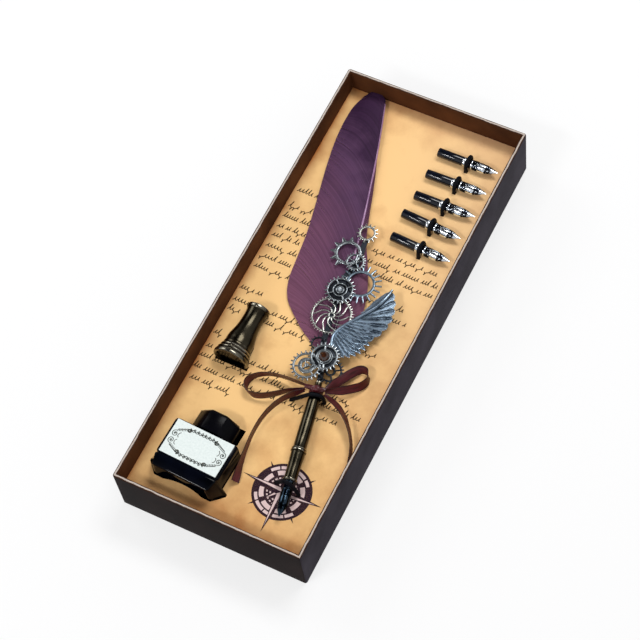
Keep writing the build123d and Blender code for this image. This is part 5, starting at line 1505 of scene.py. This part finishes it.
class GIFTBOX_OT_card_print(bpy.types.Operator):
    """Prints the compass rose and the pen strokes on the card"""
    bl_idname = "gift_box.card_print"
    bl_label = "Card Printing"

    def execute(self, context):
        ground, bricks, short, long, inlay = [CARD_TOP + PRINT_STEP * i for i in range(1, 6)]
        dark = [flat_sector(0.0, 18.0, 0, 360, 96, ground)]
        pale = [
            flat_sector(inner, outer, start, end, 8, bricks)
            for inner, outer, spans in COMPASS_BRICKS for start, end in spans]
        for radius, count in ((6.4, 18), (8.4, 24)):
            for angle in [360 / count * i for i in range(count)]:
                pale.append(flat_sector(radius, radius + 0.9, angle, angle + 180 / count, 2, bricks))
        for angle in range(45, 360, 90):
            dark.append(flat_area([
                polar(COMPASS_AT, reach, math.radians(angle + lean))
                for reach, lean in ((17.8, -1.9), (21.2, 0.0), (17.8, 1.9))], ground))
        short_left, short_right = compass_star([(45 + 90 * i, 10.0) for i in range(4)], 2.4, short)
        long_left, long_right = compass_star(
            [(2, 25.5), (90, 25.5), (176, 26.5), (270, 27.5)], 3.7, long)
        _, inlay_right = compass_star([(2, 22.0), (90, 22.0), (176, 22.5), (270, 23.5)], 3.0, inlay)
        dark += short_left + long_left + long_right
        pale += short_right + inlay_right

        lively = random.Random(11)
        width = context.scene.gift_box_sizes.stroke_width / MM
        strokes = [
            flat_stroke(line, width, ground)
            for base, *runs in SCRIPT_ROWS for start, end in runs
            for line in pen_strokes(start, end, base, lively)]
        for name, shapes, ink in (
                ("compass_dark", dark, "plum_ink"), ("compass_pale", pale, "rose_ink"),
                ("pen_strokes", strokes, "script_ink")):
            mesh = mesh_of(name, joined(shapes), IN_TRAY, closed=False)
            add_piece(name, mesh, "tray", ink)
        return {"FINISHED"}


class GIFTBOX_OT_bottle(bpy.types.Operator):
    """Moulds the ink bottle and its cap, and prints the label's border"""
    bl_idname = "gift_box.bottle"
    bl_label = "Ink Bottle"

    def execute(self, context):
        body = stitched([bottle_loop(*section) for section in BOTTLE_SECTIONS])
        glass = mesh_of("bottle_glass", joined([body, turned(NECK_OUTLINE, 48)]), ON_BOTTLE)
        add_piece("bottle_glass", glass, "ink_bottle", "bottle_glass", ("ink_bottle",), 32)

        outside = [octagon(flat, y) for flat, y in CAP_OUTSIDE]
        cap = mesh_of("bottle_cap", stitched(turned_rings(CAP_BORE, 16, 0.5) + outside), ON_BOTTLE)
        add_piece("bottle_cap", cap, "ink_cap", "moulded_cap", ("ink_cap",), 30)

        strokes = [flat_stroke(line, LABEL_STROKE, LABEL_TOP + PRINT_STEP) for line in label_strokes()]
        border = mesh_of("label_border", joined(strokes), ON_BOTTLE, closed=False)
        add_piece("label_border", border, "ink_bottle", "grey_ink")
        return {"FINISHED"}


class GIFTBOX_OT_stand(bpy.types.Operator):
    """Turns the pen stand"""
    bl_idname = "gift_box.stand"
    bl_label = "Pen Stand"

    def execute(self, context):
        mesh = mesh_of("turned_stand", turned(STAND_OUTLINE, 96), ON_STAND)
        add_piece("turned_stand", mesh, "pen_stand", "turned_brass", ("pen_stand",), 30)
        return {"FINISHED"}


class GIFTBOX_OT_pen_body(bpy.types.Operator):
    """Turns the pen's mouth ring, grip, beads, barrel and neck"""
    bl_idname = "gift_box.pen_body"
    bl_label = "Pen Body"

    def execute(self, context):
        mesh = mesh_of("turned_pen", turned(PEN_OUTLINE, 80), ON_PEN)
        add_piece("turned_pen", mesh, "quill_pen", "turned_brass", (
            "mouth_ring", "pen_grip", "barrel_collar", "pen_barrel", "pen_neck"), 30)
        return {"FINISHED"}


class GIFTBOX_OT_gears(bpy.types.Operator):
    """Casts the ten gears and their seats, puts discs of painted shade behind the two with stones, and cuts
    the two stones
    """
    bl_idname = "gift_box.gears"
    bl_label = "Cast Gears"

    def execute(self, context):
        tree = cast_gear_tree()
        for name, (x, y), height, finish_name, runs in GEARS:
            where = ON_PEN @ Matrix.Translation((x, y, height))
            for number, values in enumerate(runs):
                mesh = grown(name, tree, where, finish_name, values)
                piece = name.replace("_gear", "") + ("_seat" if number else "_cast")
                add_piece(piece, mesh, "quill_pen", finish_name, () if number else (name,), 35)
        # Painted shade: a dark disc behind each gear with a stone
        for name, (x, y), height, radius in GEAR_FLOORS:
            where = ON_PEN @ Matrix.Translation((x, y, height))
            mesh = grown(name, tree, where, "dark_casting", {
                "Teeth": 0, "Root radius": radius, "Bore radius": 0.4, "Thickness": 0.4, **RING})
            add_piece(name, mesh, "quill_pen", "dark_casting")
        for name, at, radius, height, sides in (
            ("clear_stone", (-3.3, 127.9, 2.6), 1.4, 2.2, 10),
            ("amber_stone", (-0.6, 81.2, 3.9), 3.3, 2.4, 14),
        ):
            mesh = stone_mesh(at, radius, height, sides)
            add_piece(name + "_cut", mesh, "quill_pen", name, (name,), 5)
        return {"FINISHED"}


class GIFTBOX_OT_wing(bpy.types.Operator):
    """Casts the wing: fans of feathers under a smooth leading edge"""
    bl_idname = "gift_box.wing"
    bl_label = "Cast Wing"

    def execute(self, context):
        tree = plume_fan_tree()
        share = context.scene.gift_box_sizes.plume_width
        whole = bmesh.new()
        for arcs, count, reach, width, height, lift, shape in WING_FANS:
            values = {"Feathers": count, "Reach": reach, "Width": width * share, "Lift": lift}
            values |= {label: (x, y, height) for label, (x, y) in zip(ARC_LABELS, arcs)}
            whole.from_mesh(grown("plume_fan", tree, ON_PEN, "cast_wing", values, plume_mesh(shape)))
        mesh = bpy.data.meshes.new("wing_feathers")
        whole.to_mesh(mesh)
        whole.free()
        add_piece("wing_feathers", mesh, "quill_pen", "cast_wing", ("wing",))
        add_piece("wing_arm", wing_arm_mesh(), "quill_pen", "cast_wing")
        return {"FINISHED"}


class GIFTBOX_OT_feather(bpy.types.Operator):
    """Grows the barbs on both sides of the feather's shaft"""
    bl_idname = "gift_box.feather"
    bl_label = "Feather"

    def execute(self, context):
        tree = barb_tree()
        low, high = VANE_START - 4.0, FEATHER_END - 1.0
        stations = [low + (high - low) * i / 60 for i in range(61)]
        shaft = curve_object(
            "shaft_line", "POLY", feather_line([(0, s, SHAFT_HEIGHT + 0.2) for s in stations]))
        for name, shares, settings in (
            ("vane_left", VANE_LEFT, {"Lag": 0.26, "Bow": 5.0, "Seed": 5}),
            ("vane_right", VANE_RIGHT, {"Lag": 0.12, "Bow": 1.5, "Seed": 9}),
        ):
            edge = curve_object(name + "_edge", "POLY", vane_edge(shares))
            mesh = grown(name, tree, ON_PEN, "dyed_feather", {
                "Shaft": shaft, "Edge": edge, "Barbs": context.scene.gift_box_sizes.barbs,
                "Barb points": 16, "Droop": 1.2, "Fray": 0.003, **settings})
            add_piece(name + "_barbs", mesh, "quill_pen", "dyed_feather", ("feather_" + name,), 180)
            bpy.data.objects.remove(edge)
        bpy.data.objects.remove(shaft)

        stations = [SHAFT_START + (SHAFT_END - SHAFT_START) * i / 70 for i in range(71)]
        line = feather_line([(0, s, SHAFT_HEIGHT) for s in stations])
        shape = swept(line, lambda share: oval(2.6 - 1.9 * share, 2.6 - 1.7 * share))
        quill = mesh_of("feather_quill", shape, ON_PEN)
        add_piece("feather_quill", quill, "quill_pen", "dyed_quill", ("feather_shaft",), 60)
        return {"FINISHED"}


class GIFTBOX_OT_nibs(bpy.types.Operator):
    """Makes the five spare nibs and the pen's own nib"""
    bl_idname = "gift_box.nibs"
    bl_label = "Nibs"

    def execute(self, context):
        units = [
            (f"nib_{number}", f"spare_nib_{number}", place(x, y, NIB_AXIS, math.radians(turn - 90)),
             "bright_nib") for number, (x, y, turn) in enumerate(SPARE_NIBS, 1)]
        in_pen = ON_PEN @ Matrix.Translation((0, PEN_NIB_REAR, 0)) @ Matrix.Rotation(math.pi, 4, "Z")
        for name, body, where, finish_name in [*units, ("pen_nib", "pen_nib", in_pen, "blued_nib")]:
            shank, point = nib_meshes(where)
            add_piece(name + "_barrel", shank, body, "lacquered_shank", (name + "_shank",), 30)
            add_piece(name + "_sheet", point, body, finish_name, (name + "_point",), 35)
        return {"FINISHED"}


class GIFTBOX_OT_ties(bpy.types.Operator):
    """Threads the elastic cords over the nibs and the pen"""
    bl_idname = "gift_box.ties"
    bl_label = "Elastic Ties"

    def execute(self, context):
        arch = [(0, -TIE_ARCH, TIE_FOOT), (0, -TIE_ARCH, TIE_SHOULDER)]
        for angle in [math.pi * (1 - step / 6) for step in range(7)]:
            arch.append((0, TIE_ARCH * math.cos(angle), NIB_AXIS + TIE_ARCH * math.sin(angle)))
        arch += [(0, TIE_ARCH, TIE_SHOULDER), (0, TIE_ARCH, TIE_FOOT)]
        for number, (x, y, turn) in enumerate(SPARE_NIBS, 1):
            where = place(*polar((x, y), TIE_AT, math.radians(turn)), 0)
            mesh = rod_mesh(arch, where, Vector((1, 0, 0)))
            add_piece(
                f"nib_elastic_{number}", mesh, "tray", "braided_elastic", (f"nib_tie_{number}",), 60)
        for name, (station, turn, section) in PEN_TIES.items():
            where = place(*pen_point(0, station), 0, math.radians(turn))
            mesh = rod_mesh([(x, 0, z) for x, z in section], where, Vector((0, 1, 0)))
            add_piece(name.replace("tie", "elastic"), mesh, "tray", "braided_elastic", (name,), 60)
        return {"FINISHED"}


class GIFTBOX_OT_finishes(bpy.types.Operator):
    """Gives every CAD node that stays in view its finish"""
    bl_idname = "gift_box.finishes"
    bl_label = "CAD Finishes"

    def execute(self, context):
        slots = {
            "tray_board": "grey_board", "base_paper": "covering_paper", "printed_card": "printed_card",
            # Painted shade: the gear spine takes the darkest casting for the shade under the gears
            "bottle_label": "label_paper", "cap_liner": "cap_liner", "gear_spine": "dark_casting",
            **{f"foam_{side}": "black_foam" for side in ("bed", "front", "left", "right", "rear")},
        }
        for name, finish_name in slots.items():
            materials = nodes[name].data.materials
            materials.clear()
            materials.append(finish(finish_name))
        for name, node in nodes.items():
            if name not in slots and not node.hide_render:
                raise RuntimeError(f"{name} has no finish")
        return {"FINISHED"}


class GIFTBOX_PT_panel(bpy.types.Panel):
    bl_label = "Gift Box"
    bl_idname = "GIFTBOX_PT_panel"
    bl_space_type = "VIEW_3D"
    bl_region_type = "UI"
    bl_category = "Gift Box"

    def draw(self, context):
        for group in (context.scene.gift_box_sizes, context.scene.gift_box_colours):
            for name in group.__annotations__:
                self.layout.prop(group, name)
        for operator in OPERATORS:
            self.layout.operator(operator.bl_idname)


OPERATORS = [
    GIFTBOX_OT_stage, GIFTBOX_OT_ribbon, GIFTBOX_OT_tray, GIFTBOX_OT_card_print, GIFTBOX_OT_bottle,
    GIFTBOX_OT_stand, GIFTBOX_OT_pen_body, GIFTBOX_OT_gears, GIFTBOX_OT_wing, GIFTBOX_OT_feather,
    GIFTBOX_OT_nibs, GIFTBOX_OT_ties, GIFTBOX_OT_finishes,
]
CLASSES = [GiftBoxSizes, GiftBoxColours, *OPERATORS, GIFTBOX_PT_panel]


def register():
    for item in CLASSES:
        bpy.utils.register_class(item)
    bpy.types.Scene.gift_box_sizes = bpy.props.PointerProperty(type=GiftBoxSizes)
    bpy.types.Scene.gift_box_colours = bpy.props.PointerProperty(type=GiftBoxColours)


def unregister():
    del bpy.types.Scene.gift_box_colours
    del bpy.types.Scene.gift_box_sizes
    for item in reversed(CLASSES):
        bpy.utils.unregister_class(item)


def main():
    register()
    for operator in OPERATORS:
        getattr(bpy.ops.gift_box, operator.bl_idname.split(".")[1])()


if __name__ == "__main__":
    main()
